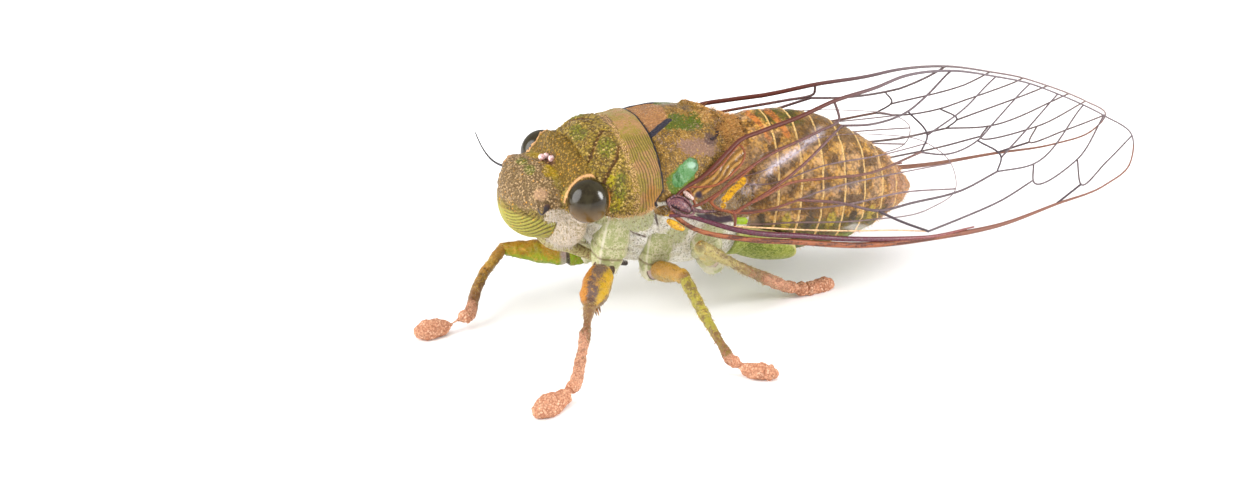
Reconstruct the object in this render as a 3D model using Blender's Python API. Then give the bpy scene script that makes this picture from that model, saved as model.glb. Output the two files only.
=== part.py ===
"""A large green and brown cicada at rest, life size, as separate closed solids.

Lengths are millimetres until they are put into a mesh, which is in metres.
X is the animal's left, Y runs from head to wing tips, and Z is up, with the feet on Z = 0.
The body is laid out level, in a body frame whose origin is the middle of the rear edge of
the front thorax plate, and is then pitched up and lifted onto its legs.
"""
import math

import bmesh
import bpy
import numpy as np
from mathutils import Vector, geometry

# Driving sizes
METRES = 0.001
GAP = 0.3
PITCH = math.radians(6.5)
LIFT = 9.6

# Head, in the body frame: centre and half sizes of the rounded masses that it blends
HEAD_CENTRE = (0.0, -6.0, 0.2)
HEAD_MASSES = {
    "crown": ((0.0, -4.9, 0.9), (5.5, 1.5, 2.7)),
    "temples": ((0.0, -5.2, 0.6), (5.9, 1.7, 1.85)),
    "brow": ((0.0, -6.8, 0.15), (4.3, 2.8, 2.0)),
    "snout": ((0.0, -7.2, -0.9), (3.0, 2.65, 2.65)),
    "cheeks": ((0.0, -5.2, -1.4), (3.9, 1.9, 2.9)),
}
HEAD_SHARPNESS = 14
HEAD_REAR = -4.9
HEAD_ROWS = 18
HEAD_SIDES = 30
EYE_CENTRE = (4.95, -5.0, 0.85)
EYE_HALF = (1.4, 1.58, 1.64)
OCELLI = ((0.0, -6.92, 2.28), (0.42, -6.28, 2.34), (-0.42, -6.28, 2.34))
OCELLUS_RADIUS = 0.32
ANTENNA_BASE = (3.7, -7.55, 0.3)
ANTENNA_REACH = {1: (2.9, -1.9, 0.9), -1: (2.6, -2.2, 1.8)}
ANTENNA_SAG = 0.25
ANTENNA_SHARES = (-0.12, 0.0, 0.1, 0.18, 0.24, 0.45, 0.7, 1.0)
ANTENNA_RADII = (0.34, 0.36, 0.36, 0.32, 0.26, 0.25, 0.22, 0.08)
BEAK_LINE = ((0.0, -6.5, -3.0), (0.0, -5.6, -4.0), (0.0, -3.9, -4.85), (0.0, -1.8, -5.8), (0.0, 0.3, -6.35))
BEAK_RADII = (0.95, 0.8, 0.45, 0.32, 0.2)

# Thorax and abdomen: stations along the body, with the outline's values at each
SHIELD_STATIONS = (-4.6, -3.95, -3.0, -2.0, -1.0, -0.3, 0.15)
SHIELD_HALF_WIDTH = (4.7, 4.95, 5.3, 5.6, 6.05, 6.45, 6.4)
SHIELD_TOP = (3.95, 4.35, 4.75, 5.0, 5.12, 5.2, 5.18)
SHIELD_LEVEL = (-0.1, -0.1, -0.3, -0.2, 0.1, 0.5, 0.7)
SHIELD_FLANK = (3.1, 3.4, 3.9, 4.2, 4.4, 4.6, 4.6)
SHIELD_BOTTOM = (-2.2, -2.8, -4.2, -4.9, -5.4, -5.6, -5.7)
SHIELD_SHOULDER = (0.78, 0.8, 0.85, 0.92, 0.98, 1.0, 1.0)
SHIELD_ROWS = 9

# Lower powers make the sections squarer
LIP_DEPTH = 0.25
BELLY_POWER = 0.8
BACK_POINTS = 15
BELLY_POINTS = 13

THORAX_STATIONS = (0.45, 1.5, 3.0, 4.5, 6.0, 7.2, 8.05)
THORAX_HALF_WIDTH = (5.9, 5.8, 5.5, 5.0, 4.4, 3.9, 3.7)
THORAX_TOP = (5.2, 5.55, 5.7, 5.55, 5.1, 4.9, 4.85)
THORAX_LEVEL = (0.9, 0.8, 0.6, 0.5, 0.5, 0.6, 0.6)
THORAX_FLANK = (4.5, 4.6, 4.6, 4.5, 4.3, 4.1, 3.9)
THORAX_BOTTOM = (-5.7, -6.0, -6.1, -6.1, -6.0, -5.8, -5.5)
THORAX_SHOULDER = (1.0,) * 7
THORAX_ROWS = 11

ABDOMEN_STATIONS = (8.35, 9.5, 11.5, 14.0, 16.5, 18.5, 20.5, 21.8, 22.4)
ABDOMEN_HALF_WIDTH = (3.8, 4.2, 4.4, 4.35, 3.95, 3.3, 2.3, 1.3, 0.7)
ABDOMEN_TOP = (4.8, 4.9, 4.9, 4.5, 3.5, 2.4, 0.9, -0.5, -1.1)
ABDOMEN_BOTTOM = (-4.9, -5.3, -5.6, -5.7, -5.4, -4.7, -3.6, -2.7, -2.1)
ABDOMEN_SEGMENTS = 8
ABDOMEN_SIDES = 26
SEGMENT_STEP = 0.12
SEGMENT_PROFILE = ((0.0, 0.0), (0.5, 0.75), (0.93, 1.0))

CROSS_CENTRE = (0.0, 5.9, 4.85)
CROSS_HALF_WIDTH = 1.3
CROSS_HALF_LENGTH = 1.15
CROSS_ARCH = 0.25
CROSS_RADIUS = 0.42

DRUM_COVER_START = 8.35
DRUM_COVER_END = 12.2
DRUM_COVER_ROUND_START = 10.4
DRUM_COVER_ROUND_LENGTH = 2.2
DRUM_COVER_THICKNESS = 0.6
DRUM_COVER_TURN = math.radians(-58)
DRUM_COVER_HALF_TURN = math.radians(27)

# Wings at rest: a steep roof. u runs along the wing from its root and v across it,
# towards the midline of the back.
WING_ROOT = (6.2, 0.8, 0.6)
WING_SWEEP = math.radians(5.6)
WING_RISE = math.radians(1.8)
WING_ROOF = math.radians(59)
WING_CAMBER = 0.7
CAMBER_MIDDLE = -0.3
CAMBER_HALF_WIDTH = 5.2
CAMBER_FULL_AT = 8.0
CAMBER_FADE = (20.0, 40.0)
WING_THICKNESS = 0.5
MIDLINE_CLEARANCE = 0.35
MIDLINE_SOFTNESS = 0.3
HINDWING_DROP = WING_THICKNESS + GAP

# Legs, with the feet on the floor: joints from the body outwards
LEGS = {
    "fore_left": ((3.2, -2.5, 7.6), (3.1, -3.1, 4.9), (8.3, -6.2, 4.6), (13.4, -9.3, 1.1),
                  (15.3, -12.7, 0.62)),
    "fore_right": ((-2.9, -2.3, 6.8), (-2.4, -2.5, 3.6), (-4.9, -8.2, 3.9), (-0.7, -12.4, 1.0),
                   (-0.3, -16.2, 0.62)),
    "mid_left": ((3.1, 0.9, 6.2), (3.2, 0.4, 3.9), (8.0, 1.1, 5.2), (14.2, 2.1, 1.1),
                 (16.3, 4.5, 0.52)),
    "mid_right": ((-3.1, 0.9, 6.2), (-3.2, 0.4, 3.9), (-7.8, 0.7, 5.1), (-13.6, 1.6, 1.1),
                  (-15.8, 3.9, 0.52)),
    "hind_left": ((3.0, 4.3, 6.0), (4.0, 4.9, 3.9), (7.3, 2.7, 7.0), (4.3, 10.6, 1.0),
                  (3.8, 14.1, 0.42)),
    "hind_right": ((-3.0, 4.3, 6.0), (-4.0, 4.9, 3.9), (-7.2, 2.9, 6.9), (-5.0, 10.4, 1.0),
                   (-5.0, 13.9, 0.42)),
}
COXA_RADII = {"fore": (1.05, 1.1, 0.85), "mid": (1.1, 1.05, 0.8), "hind": (1.2, 1.05, 0.8)}
FEMUR_RADII = {"fore": (0.55, 0.98, 0.98, 0.5), "mid": (0.5, 0.62, 0.58, 0.42),
               "hind": (0.5, 0.62, 0.6, 0.42)}
TIBIA_RADII = {"fore": (0.38, 0.42, 0.42, 0.36), "mid": (0.36, 0.4, 0.38, 0.34),
               "hind": (0.36, 0.42, 0.42, 0.38)}
CLUB_RADII = {"fore": (0.34, 0.45, 0.58, 0.8, 0.6), "mid": (0.34, 0.42, 0.5, 0.68, 0.45),
              "hind": (0.38, 0.42, 0.46, 0.56, 0.42)}
TIBIA_BOW = {"fore_right": (-0.2, -0.35, 0.1)}
PLAIN_BOW = (0.0, 0.0, -0.15)
FEMUR_BOW = (0.0, 0.0, 0.1)
SEGMENT_SETBACK = (0.3, 0.25)
SPANS_OF_LIMB = 4.2
FOOT_SETTLED_AT = 0.5
FEMUR_SPINES = (0.45, 0.68, 0.88)
FEMUR_SPINE_DEPTH = 0.78
FEMUR_SPINE_LEAN = 0.12
SHIN_SPURS = ((0.5, 1), (0.7, -1), (0.85, 1))
SHIN_SPUR_DEPTH = 0.3
SHIN_SPUR_LEAN = 0.1
SPINE_RADII = (0.28, 0.18, 0.08)
SPINE_SHARES = ((-0.2,), (0.45,), (0.9,))
SPINE_LENGTH = 0.85
SPUR_LENGTH = 0.8


def smoothstep(start, end, value):
    """Rises smoothly from 0 at start to 1 at end."""
    t = np.clip((value - start) / (end - start), 0.0, 1.0)
    return t * t * (3.0 - 2.0 * t)


def follow(stations, values, at):
    """Smooth curve through the station values, as cubic spans with shared slopes."""
    stations = np.asarray(stations, float)
    values = np.asarray(values, float)
    slopes = np.gradient(values, stations)
    span = np.clip(np.searchsorted(stations, at, side="right") - 1, 0, len(stations) - 2)
    width = stations[span + 1] - stations[span]
    t = (at - stations[span]) / width
    return ((2 * t**3 - 3 * t**2 + 1) * values[span] + (t**3 - 2 * t**2 + t) * width * slopes[span]
            + (3 * t**2 - 2 * t**3) * values[span + 1] + (t**3 - t**2) * width * slopes[span + 1])


def curve_through(points, step):
    """Points about a step apart on a smooth curve that passes through every given point."""
    points = np.asarray(points, float)
    if len(points) == 2:
        return points
    chords = np.linalg.norm(np.diff(points, axis=0), axis=1)
    along = np.concatenate(([0.0], np.cumsum(chords)))
    counts = np.maximum(1, np.ceil(chords / step).astype(int))
    stretches = zip(along[:-1], along[1:], counts)
    at = np.concatenate([np.linspace(start, end, count, endpoint=False) for start, end, count in stretches])
    at = np.append(at, along[-1])
    return np.stack([follow(along, points[:, axis], at) for axis in range(points.shape[1])], axis=1)


def stand(points):
    """Body frame to the standing pose: head pitched up, body lifted off the floor."""
    x, y, z = np.moveaxis(np.asarray(points, float), -1, 0)
    cosine = math.cos(PITCH)
    sine = math.sin(PITCH)
    return np.stack([x, cosine * y + sine * z, LIFT - sine * y + cosine * z], axis=-1)


def material(name, colour, roughness, metallic=0.0, alpha=1.0):
    """Principled material of one colour."""
    made = bpy.data.materials.get(name)
    if made is None:
        made = bpy.data.materials.new(name)
        made.use_nodes = True
        shader = made.node_tree.nodes["Principled BSDF"]
        shader.inputs["Base Color"].default_value = (*colour, 1.0)
        shader.inputs["Roughness"].default_value = roughness
        shader.inputs["Metallic"].default_value = metallic
        shader.inputs["Alpha"].default_value = alpha
    return made


FINISHES = {
    "shell": ((0.20, 0.17, 0.04), 0.45),
    "green_shell": ((0.16, 0.22, 0.05), 0.4),
    "belly": ((0.25, 0.32, 0.10), 0.5),
    "abdomen_shell": ((0.28, 0.20, 0.07), 0.45),
    "eye_gloss": ((0.03, 0.028, 0.012), 0.12),
    "feeler": ((0.05, 0.03, 0.02), 0.5),
    "pale_joint": ((0.50, 0.55, 0.32), 0.55),
    "leg_shell": ((0.34, 0.22, 0.03), 0.4),
    "dried_mud": ((0.55, 0.25, 0.13), 0.9),
    "wing_film": ((0.55, 0.50, 0.42), 0.2),
}


def add_solid(name, points, faces, finish):
    """Object from millimetre points and faces, with its faces turned outwards."""
    mesh = bpy.data.meshes.new(name)
    corners = [tuple(int(index) for index in face) for face in faces]
    mesh.from_pydata((np.asarray(points) * METRES).tolist(), [], corners)
    mesh.validate()
    shape = bmesh.new()
    shape.from_mesh(mesh)
    bmesh.ops.triangulate(shape, faces=shape.faces, quad_method="SHORT_EDGE")
    if shape.calc_volume(signed=True) < 0:
        bmesh.ops.reverse_faces(shape, faces=shape.faces)
    shape.to_mesh(mesh)
    shape.free()
    mesh.materials.append(material(finish, *FINISHES[finish]))
    mesh.shade_smooth()
    mesh.set_sharp_from_angle(angle=math.radians(35))
    solid = bpy.data.objects.new(name, mesh)
    bpy.context.collection.objects.link(solid)
    return solid


def loft(name, rings, finish, poles=None):
    """Closed skin over rings of equally many points, with a fan over each end."""
    rings = np.asarray(rings, float)
    count, sides, _ = rings.shape
    if poles is None:
        poles = (rings[0].mean(axis=0), rings[-1].mean(axis=0))
    points = np.concatenate([rings.reshape(-1, 3), np.asarray(poles, float)])
    faces = []
    for row in range(count - 1):
        for side in range(sides):
            after = (side + 1) % sides
            faces.append((row * sides + side, row * sides + after,
                          (row + 1) * sides + after, (row + 1) * sides + side))
    for side in range(sides):
        after = (side + 1) % sides
        faces.append((count * sides, after, side))
        faces.append((count * sides + 1, (count - 1) * sides + side, (count - 1) * sides + after))
    return add_solid(name, points, faces, finish)


def tube(name, path, radii, sides, finish, grow=0.0, floor=None):
    """Round profile carried along a path, with rounded ends; grow fattens it all round."""
    path = np.asarray(path, float)
    radii = np.asarray(radii, float) + grow
    forward = np.gradient(path, axis=0)
    forward /= np.linalg.norm(forward, axis=1)[:, None]
    reference = np.array([0.0, 0.0, 1.0]) if abs(forward[0][2]) < 0.9 else np.array([0.0, 1.0, 0.0])
    side_axis = np.cross(forward, reference)
    side_axis /= np.linalg.norm(side_axis, axis=1)[:, None]
    up_axis = np.cross(side_axis, forward)
    turn = np.arange(sides) * 2 * math.pi / sides
    circle = np.cos(turn)[None, :, None] * side_axis[:, None, :]
    circle = circle + np.sin(turn)[None, :, None] * up_axis[:, None, :]
    rings = path[:, None, :] + radii[:, None, None] * circle
    cap_narrowing = 0.62
    cap_ring = 0.55
    cap_pole = 0.8
    first = path[0] - forward[0] * radii[0] * cap_ring + radii[0] * cap_narrowing * circle[0]
    last = path[-1] + forward[-1] * radii[-1] * cap_ring + radii[-1] * cap_narrowing * circle[-1]
    rings = np.concatenate([first[None], rings, last[None]])
    poles = np.array([path[0] - forward[0] * radii[0] * cap_pole,
                      path[-1] + forward[-1] * radii[-1] * cap_pole])
    if floor is not None:
        rings[..., 2] = np.maximum(rings[..., 2], floor)
        poles[:, 2] = np.maximum(poles[:, 2], floor)
    return loft(name, rings, finish, poles)


def ball(name, centre, half, rows, sides, finish, grow=0.0):
    """Ellipsoid with its poles on X, in the body frame, then stood up."""
    half = np.asarray(half, float) + grow
    lean = np.linspace(0, math.pi, rows + 1)[1:-1]
    turn = np.arange(sides) * 2 * math.pi / sides
    lean, turn = np.meshgrid(lean, turn, indexing="ij")
    shape = np.stack([np.cos(lean), np.sin(lean) * np.cos(turn), np.sin(lean) * np.sin(turn)], axis=-1)
    rings = stand(np.asarray(centre) + half * shape)
    tips = stand(np.asarray(centre) + half * np.array([[1.0, 0, 0], [-1.0, 0, 0]]))
    return loft(name, rings, finish, tips)


def keep_largest(solid):
    """Drops every closed surface but the largest, and merges points that coincide."""
    shape = bmesh.new()
    shape.from_mesh(solid.data)
    bmesh.ops.remove_doubles(shape, verts=shape.verts, dist=0.002 * METRES)
    bmesh.ops.dissolve_degenerate(shape, edges=shape.edges, dist=0.001 * METRES)
    bmesh.ops.triangulate(shape, faces=shape.faces)
    unseen = set(shape.faces)
    pieces = []
    while unseen:
        piece = {unseen.pop()}
        border = list(piece)
        while border:
            face = border.pop()
            for edge in face.edges:
                for other in edge.link_faces:
                    if other in unseen:
                        unseen.discard(other)
                        piece.add(other)
                        border.append(other)
        pieces.append(piece)
    pieces.sort(key=lambda piece: sum(face.calc_area() for face in piece), reverse=True)
    for piece in pieces[1:]:
        bmesh.ops.delete(shape, geom=list(piece), context="FACES")
    bmesh.ops.delete(shape, geom=[v for v in shape.verts if not v.link_faces], context="VERTS")
    shape.to_mesh(solid.data)
    shape.free()


def combine(solid, others, operation, solver="EXACT"):
    """Joins or cuts a solid with closed solids, which are used up."""
    group = bpy.data.collections.new(solid.name + "_tools")
    bpy.context.scene.collection.children.link(group)
    for other in others:
        for home in list(other.users_collection):
            home.objects.unlink(other)
        group.objects.link(other)
        other.hide_render = True
        other.display_type = "WIRE"
    modifier = solid.modifiers.new(operation.title(), "BOOLEAN")
    modifier.operand_type = "COLLECTION"
    modifier.collection = group
    modifier.operation = operation
    modifier.solver = solver
    depsgraph = bpy.context.evaluated_depsgraph_get()
    depsgraph.update()
    result = bpy.data.meshes.new_from_object(solid.evaluated_get(depsgraph))
    solid.modifiers.clear()
    old = solid.data
    solid.data = result
    bpy.data.meshes.remove(old)
    result.name = solid.name
    for other in list(group.objects):
        bpy.data.objects.remove(other)
    bpy.data.collections.remove(group)
    keep_largest(solid)


def head_surface(directions):
    """Distance from the head's centre along each direction: a soft maximum of where the
    ray leaves each rounded mass, cut off square at the head's rear."""
    reach = np.zeros(directions.shape[:-1])
    for centre, half in HEAD_MASSES.values():
        half = np.asarray(half)
        offset = (np.asarray(HEAD_CENTRE) - np.asarray(centre)) / half
        ray = directions / half
        a = (ray**2).sum(axis=-1)
        b = (ray * offset).sum(axis=-1)
        c = (offset**2).sum() - 1.0
        reach += ((-b + np.sqrt(b * b - a * c)) / a) ** HEAD_SHARPNESS
    reach = reach ** (1.0 / HEAD_SHARPNESS)
    backward = np.maximum(directions[..., 1], 1e-6)
    return np.minimum(reach, (HEAD_REAR - HEAD_CENTRE[1]) / backward)


def make_head():
    """Head capsule with its swollen snout and the three small eyes on the crown."""
    lean = np.linspace(0, math.pi, HEAD_ROWS + 1)[1:-1]
    turn = (np.arange(HEAD_SIDES) + 0.5) * 2 * math.pi / HEAD_SIDES
    lean, turn = np.meshgrid(lean, turn, indexing="ij")
    directions = np.stack([np.cos(lean), np.sin(lean) * np.cos(turn), np.sin(lean) * np.sin(turn)], axis=-1)
    rings = np.asarray(HEAD_CENTRE) + head_surface(directions)[..., None] * directions
    ends = np.array([[1.0, 0.0, 0.0], [-1.0, 0.0, 0.0]])
    poles = np.asarray(HEAD_CENTRE) + head_surface(ends)[:, None] * ends
    head = loft("head", stand(rings), "green_shell", stand(poles))
    small_eyes = [ball("ocellus", centre, (OCELLUS_RADIUS,) * 3, 4, 8, "green_shell") for centre in OCELLI]
    combine(head, small_eyes, "UNION")
    return head


def mirrored(point, side):
    """A point of the left side, or its mirror image for side -1."""
    return (point[0] * side, point[1], point[2])


def squared(wave, power):
    """A sine or cosine raised to a power that keeps its sign."""
    return np.sign(wave) * np.abs(wave) ** power


def section(y, half_width, top, level, flank, bottom, shoulder):
    """Ring across the body: a vaulted back down to a lip, and a narrower rounded belly."""
    under_lip = level - LIP_DEPTH
    over = np.linspace(0, math.pi, BACK_POINTS)
    under = np.linspace(math.pi, 2 * math.pi, BELLY_POINTS + 2)[1:-1]
    back = np.stack([half_width * squared(np.cos(over), shoulder), np.full(BACK_POINTS, y),
                     level + (top - level) * squared(np.sin(over), shoulder)], axis=-1)
    belly = np.stack([flank * squared(np.cos(under), BELLY_POWER), np.full(BELLY_POINTS, y),
                      under_lip + (under_lip - bottom) * np.sin(under)], axis=-1)
    return np.concatenate([back, belly])


def make_trunk(name, stations, outline, rows, finish):
    """Stretch of the thorax: sections that follow the station values."""
    at = np.linspace(stations[0], stations[-1], rows)
    values = [follow(stations, value, at) for value in outline]
    rings = np.array([section(y, *(value[row] for value in values)) for row, y in enumerate(at)])
    return loft(name, stand(rings), finish)


def abdomen_ring(y, grow, turn):
    """Oval across the abdomen at y, in the body frame, at the given turns."""
    half_width = follow(ABDOMEN_STATIONS, ABDOMEN_HALF_WIDTH, y) + grow
    top = follow(ABDOMEN_STATIONS, ABDOMEN_TOP, y) + grow
    bottom = follow(ABDOMEN_STATIONS, ABDOMEN_BOTTOM, y) - grow
    middle = (top + bottom) / 2
    return np.stack([half_width * np.cos(turn), np.full_like(turn, y),
                     middle + (top - bottom) / 2 * np.sin(turn)], axis=-1)


def make_abdomen():
    """Abdomen in overlapping rings: each swells towards its rear edge and then steps in."""
    turn = np.arange(ABDOMEN_SIDES) * 2 * math.pi / ABDOMEN_SIDES
    start = ABDOMEN_STATIONS[0]
    length = ABDOMEN_STATIONS[-1] - start
    rings = []
    for segment in range(ABDOMEN_SEGMENTS):
        for part, swell in SEGMENT_PROFILE:
            y = start + length * (segment + part) / ABDOMEN_SEGMENTS
            rings.append(abdomen_ring(y, SEGMENT_STEP * (swell - 1.0), turn))
    rings.append(abdomen_ring(start + length, -SEGMENT_STEP, turn))
    return loft("abdomen", stand(np.array(rings)), "abdomen_shell")


def make_drum_cover(name, side):
    """Curved plate under the first rings of the abdomen, one on each side of the middle."""
    at = np.linspace(DRUM_COVER_START, DRUM_COVER_END, 6)
    inner = GAP
    outer = GAP + DRUM_COVER_THICKNESS
    rings = []
    for y in at:
        past = max(0.0, y - DRUM_COVER_ROUND_START) / DRUM_COVER_ROUND_LENGTH
        spread = DRUM_COVER_HALF_TURN * math.sqrt(1 - past**2)
        turn = np.linspace(DRUM_COVER_TURN - spread, DRUM_COVER_TURN + spread, 6)
        loop = np.concatenate([abdomen_ring(y, outer, turn), abdomen_ring(y, inner, turn[::-1])])
        loop[:, 0] *= side
        rings.append(loop)
    return loft(name, stand(np.array(rings)), "belly")


def make_cross():
    """Raised cross at the rear of the middle plate, as two rods sunk in it."""
    x, y, z = CROSS_CENTRE
    rods = []
    for lean in (-1, 1):
        ends = [(x - CROSS_HALF_WIDTH, y - lean * CROSS_HALF_LENGTH, z),
                (x, y, z + CROSS_ARCH),
                (x + CROSS_HALF_WIDTH, y + lean * CROSS_HALF_LENGTH, z)]
        path = stand(curve_through(ends, 0.9))
        radii = np.full(len(path), CROSS_RADIUS)
        rods.append(tube("cross_rod", path, radii, 8, "shell"))
    return rods


def wing_axes():
    """Along the wing, across it towards the midline, and out of its upper face."""
    along = np.array([-math.sin(WING_SWEEP) * math.cos(WING_RISE),
                      math.cos(WING_SWEEP) * math.cos(WING_RISE), math.sin(WING_RISE)])
    inward = np.array([-math.cos(WING_SWEEP), -math.sin(WING_SWEEP), 0.0])
    upward = np.cross(along, inward)
    upward *= np.sign(upward[2])
    across = math.cos(WING_ROOF) * inward + math.sin(WING_ROOF) * upward
    outward = np.cross(across, along)
    outward *= np.sign(outward[0])
    return along, across, outward


def wing_middle(flat):
    """Middle surface of the left forewing: a roof plane that bulges over the body and
    turns up beside the midline, where the two wings meet."""
    flat = np.asarray(flat, float)
    u, v = flat[..., 0], flat[..., 1]
    along, across, outward = wing_axes()
    bulge = WING_CAMBER * np.clip(1 - ((v - CAMBER_MIDDLE) / CAMBER_HALF_WIDTH) ** 2, 0, 1)
    bulge = bulge * smoothstep(0, CAMBER_FULL_AT, u) * (1 - smoothstep(*CAMBER_FADE, u))
    points = np.asarray(WING_ROOT) + u[..., None] * along + v[..., None] * across + bulge[..., None] * outward
    beyond = (points[..., 0] - MIDLINE_CLEARANCE) / MIDLINE_SOFTNESS
    points[..., 0] = MIDLINE_CLEARANCE + MIDLINE_SOFTNESS * np.logaddexp(0, beyond)
    return points


def wing_surface(flat, offset):
    """Points at an offset from the wing's middle surface, along its normal."""
    flat = np.asarray(flat, float)
    small = 0.05
    centre = wing_middle(flat)
    down_u = wing_middle(flat + np.array([small, 0.0])) - centre
    down_v = wing_middle(flat + np.array([0.0, small])) - centre
    normal = np.cross(down_u, down_v)
    normal /= np.linalg.norm(normal, axis=-1)[..., None]
    return centre + np.asarray(offset)[..., None] * normal


# Forewing frame: the vein that runs round the wing, with the width of film outside it
FORE_FRAME = (
    ((0.0, -0.6), 0.3), ((1.2, -1.7), 0.3), ((4.8, -3.1), 0.3), ((9.5, -4.1), 0.3), ((14.4, -4.9), 0.3),
    ((20.7, -5.1), 0.3), ((26.3, -4.9), 0.3), ((31.3, -4.0), 0.3), ((35.9, -3.1), 0.4), ((38.4, -1.8), 0.9),
    ((39.1, 0.3), 1.5), ((37.0, 2.1), 1.2), ((35.4, 3.1), 1.0), ((33.4, 4.2), 1.0), ((31.2, 5.3), 1.0),
    ((28.4, 6.2), 0.9), ((24.7, 7.1), 0.8), ((20.9, 7.1), 0.7), ((18.4, 6.5), 0.6), ((14.7, 5.9), 0.3),
    ((11.7, 5.1), 0.3), ((8.3, 4.3), 0.3), ((5.8, 3.6), 0.3), ((2.8, 2.2), 0.3), ((0.6, 0.9), 0.3),
)
STRONG = (0.7, 0.35)
MAIN = (0.55, 0.22)
FINE = (0.5, 0.18)
FORE_VEINS = (
    (STRONG, ((0.5, -0.7), (2.6, -1.5), (4.6, -2.2), (9.6, -3.3), (14.5, -4.3), (20.7, -5.1))),
    (MAIN, ((0.7, -0.1), (2.6, -0.6), (4.8, -1.3), (7.2, -1.3), (10.1, -1.2))),
    (MAIN, ((4.8, -1.3), (4.6, -2.2))),
    (MAIN, ((10.1, -1.2), (13.1, -1.7), (16.4, -2.6), (19.0, -2.4), (23.4, -2.0), (26.7, -1.0))),
    (FINE, ((10.1, -1.2), (12.7, -0.4), (15.9, 0.2), (20.6, 1.2))),
    (MAIN, ((16.4, -2.6), (20.7, -5.1))),
    (MAIN, ((20.7, -5.1), (23.1, -4.0), (26.8, -3.1), (29.7, -2.0))),
    (MAIN, ((4.8, -1.3), (7.6, -0.1), (10.3, 1.2), (14.8, 4.0))),
    (MAIN, ((14.8, 4.0), (15.1, 5.1), (14.7, 5.9))),
    (MAIN, ((14.8, 4.0), (17.2, 3.8), (20.5, 4.4), (22.4, 5.4), (24.7, 7.1))),
    (MAIN, ((0.6, 0.9), (3.4, 0.9), (6.6, 2.2), (10.4, 3.9), (14.7, 5.9))),
    (FINE, ((20.5, 4.4), (21.5, 2.4), (20.6, 1.2))),
    (FINE, ((21.5, 2.4), (25.5, 4.2), (28.4, 6.2))),
    (FINE, ((20.6, 1.2), (22.6, 0.8), (25.6, 1.5), (27.4, 2.7), (31.2, 5.3))),
    (FINE, ((25.6, 1.5), (27.3, 0.0), (26.7, -1.0))),
    (FINE, ((27.3, 0.0), (31.0, 2.5), (33.4, 4.2))),
    (FINE, ((26.7, -1.0), (30.0, -0.8), (35.4, 3.1))),
    (FINE, ((30.0, -0.8), (29.7, -2.0), (33.9, -0.9), (37.0, 2.1))),
    (FINE, ((33.9, -0.9), (33.8, -2.8), (36.4, -1.4), (39.1, 0.3))),
    (FINE, ((33.8, -2.8), (31.3, -4.0))),
)
HIND_FRAME = (
    ((3.4, -0.8), 0.3), ((5.0, -1.8), 0.3), ((10.0, -2.6), 0.3), ((16.0, -3.2), 0.3), ((21.0, -3.0), 0.3),
    ((23.4, -1.8), 0.4), ((23.4, 0.2), 0.5), ((21.8, 2.0), 0.5), ((18.0, 3.2), 0.5), ((13.0, 3.6), 0.4),
    ((8.0, 2.8), 0.3), ((4.4, 1.2), 0.3),
)
HIND_VEINS = (
    (MAIN, ((3.4, -0.8), (8.0, -1.4), (14.0, -1.8), (19.0, -1.5), (23.4, -1.8))),
    (FINE, ((8.0, -1.4), (13.0, -0.4), (18.5, 0.0), (23.4, 0.2))),
    (FINE, ((4.4, 1.2), (8.0, 0.6), (13.0, 1.4), (18.0, 1.6), (21.8, 2.0))),
    (FINE, ((4.4, 1.2), (9.0, 1.9), (13.0, 3.6))),
)
VEIN_STEP = 3.0
RIM_STEP = 2.2
UPPER_EDGE_POINTS = 9
UPPER_EDGE_FILM = 0.3
HINDWING_ROOT_SPAN = (1.6, 3.2)
CLEARANCE_LOW = -6.5
CLEARANCE_REACH = 3.0
MERGE_DISTANCE = 0.02
FOOT_CLEAR_OF_VEIN = 0.6
FOOT_CLEAR_OF_RIM = 0.45
FOOT_CLEAR_OF_EDGE = 0.12


def offset_loop(loop, border):
    """Closed loop moved outwards, each point by its own border."""
    ahead = np.roll(loop, -1, axis=0) - np.roll(loop, 1, axis=0)
    ahead /= np.linalg.norm(ahead, axis=1)[:, None]
    outward = np.stack([ahead[:, 1], -ahead[:, 0]], axis=1)
    return loop + outward * border[:, None]


def distance_to_line(points, line):
    """Shortest distance from each point to a line of joined segments."""
    start, end = line[:-1], line[1:]
    run = end - start
    length = (run**2).sum(axis=1)
    t = ((points[:, None, :] - start) * run).sum(axis=2) / length
    nearest = start + np.clip(t, 0, 1)[..., None] * run
    return np.linalg.norm(points[:, None, :] - nearest, axis=2).min(axis=1)


def wing_layout(frame, veins):
    """Flat outline, the crest line of every vein with its size, and the lines at their feet."""
    controls = np.array([point for point, _ in frame])
    borders = np.array([border for _, border in frame])
    closed = np.concatenate([controls, controls[:1]])
    rim = curve_through(closed, RIM_STEP)
    nearest = np.linalg.norm(rim[:-1, None, :] - controls[None], axis=2).argmin(axis=1)
    outline = offset_loop(rim[:-1], borders[nearest])
    crests = [(FINE, rim)]
    crests += [(size, curve_through(points, VEIN_STEP)) for size, points in veins]
    return outline, crests


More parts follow.
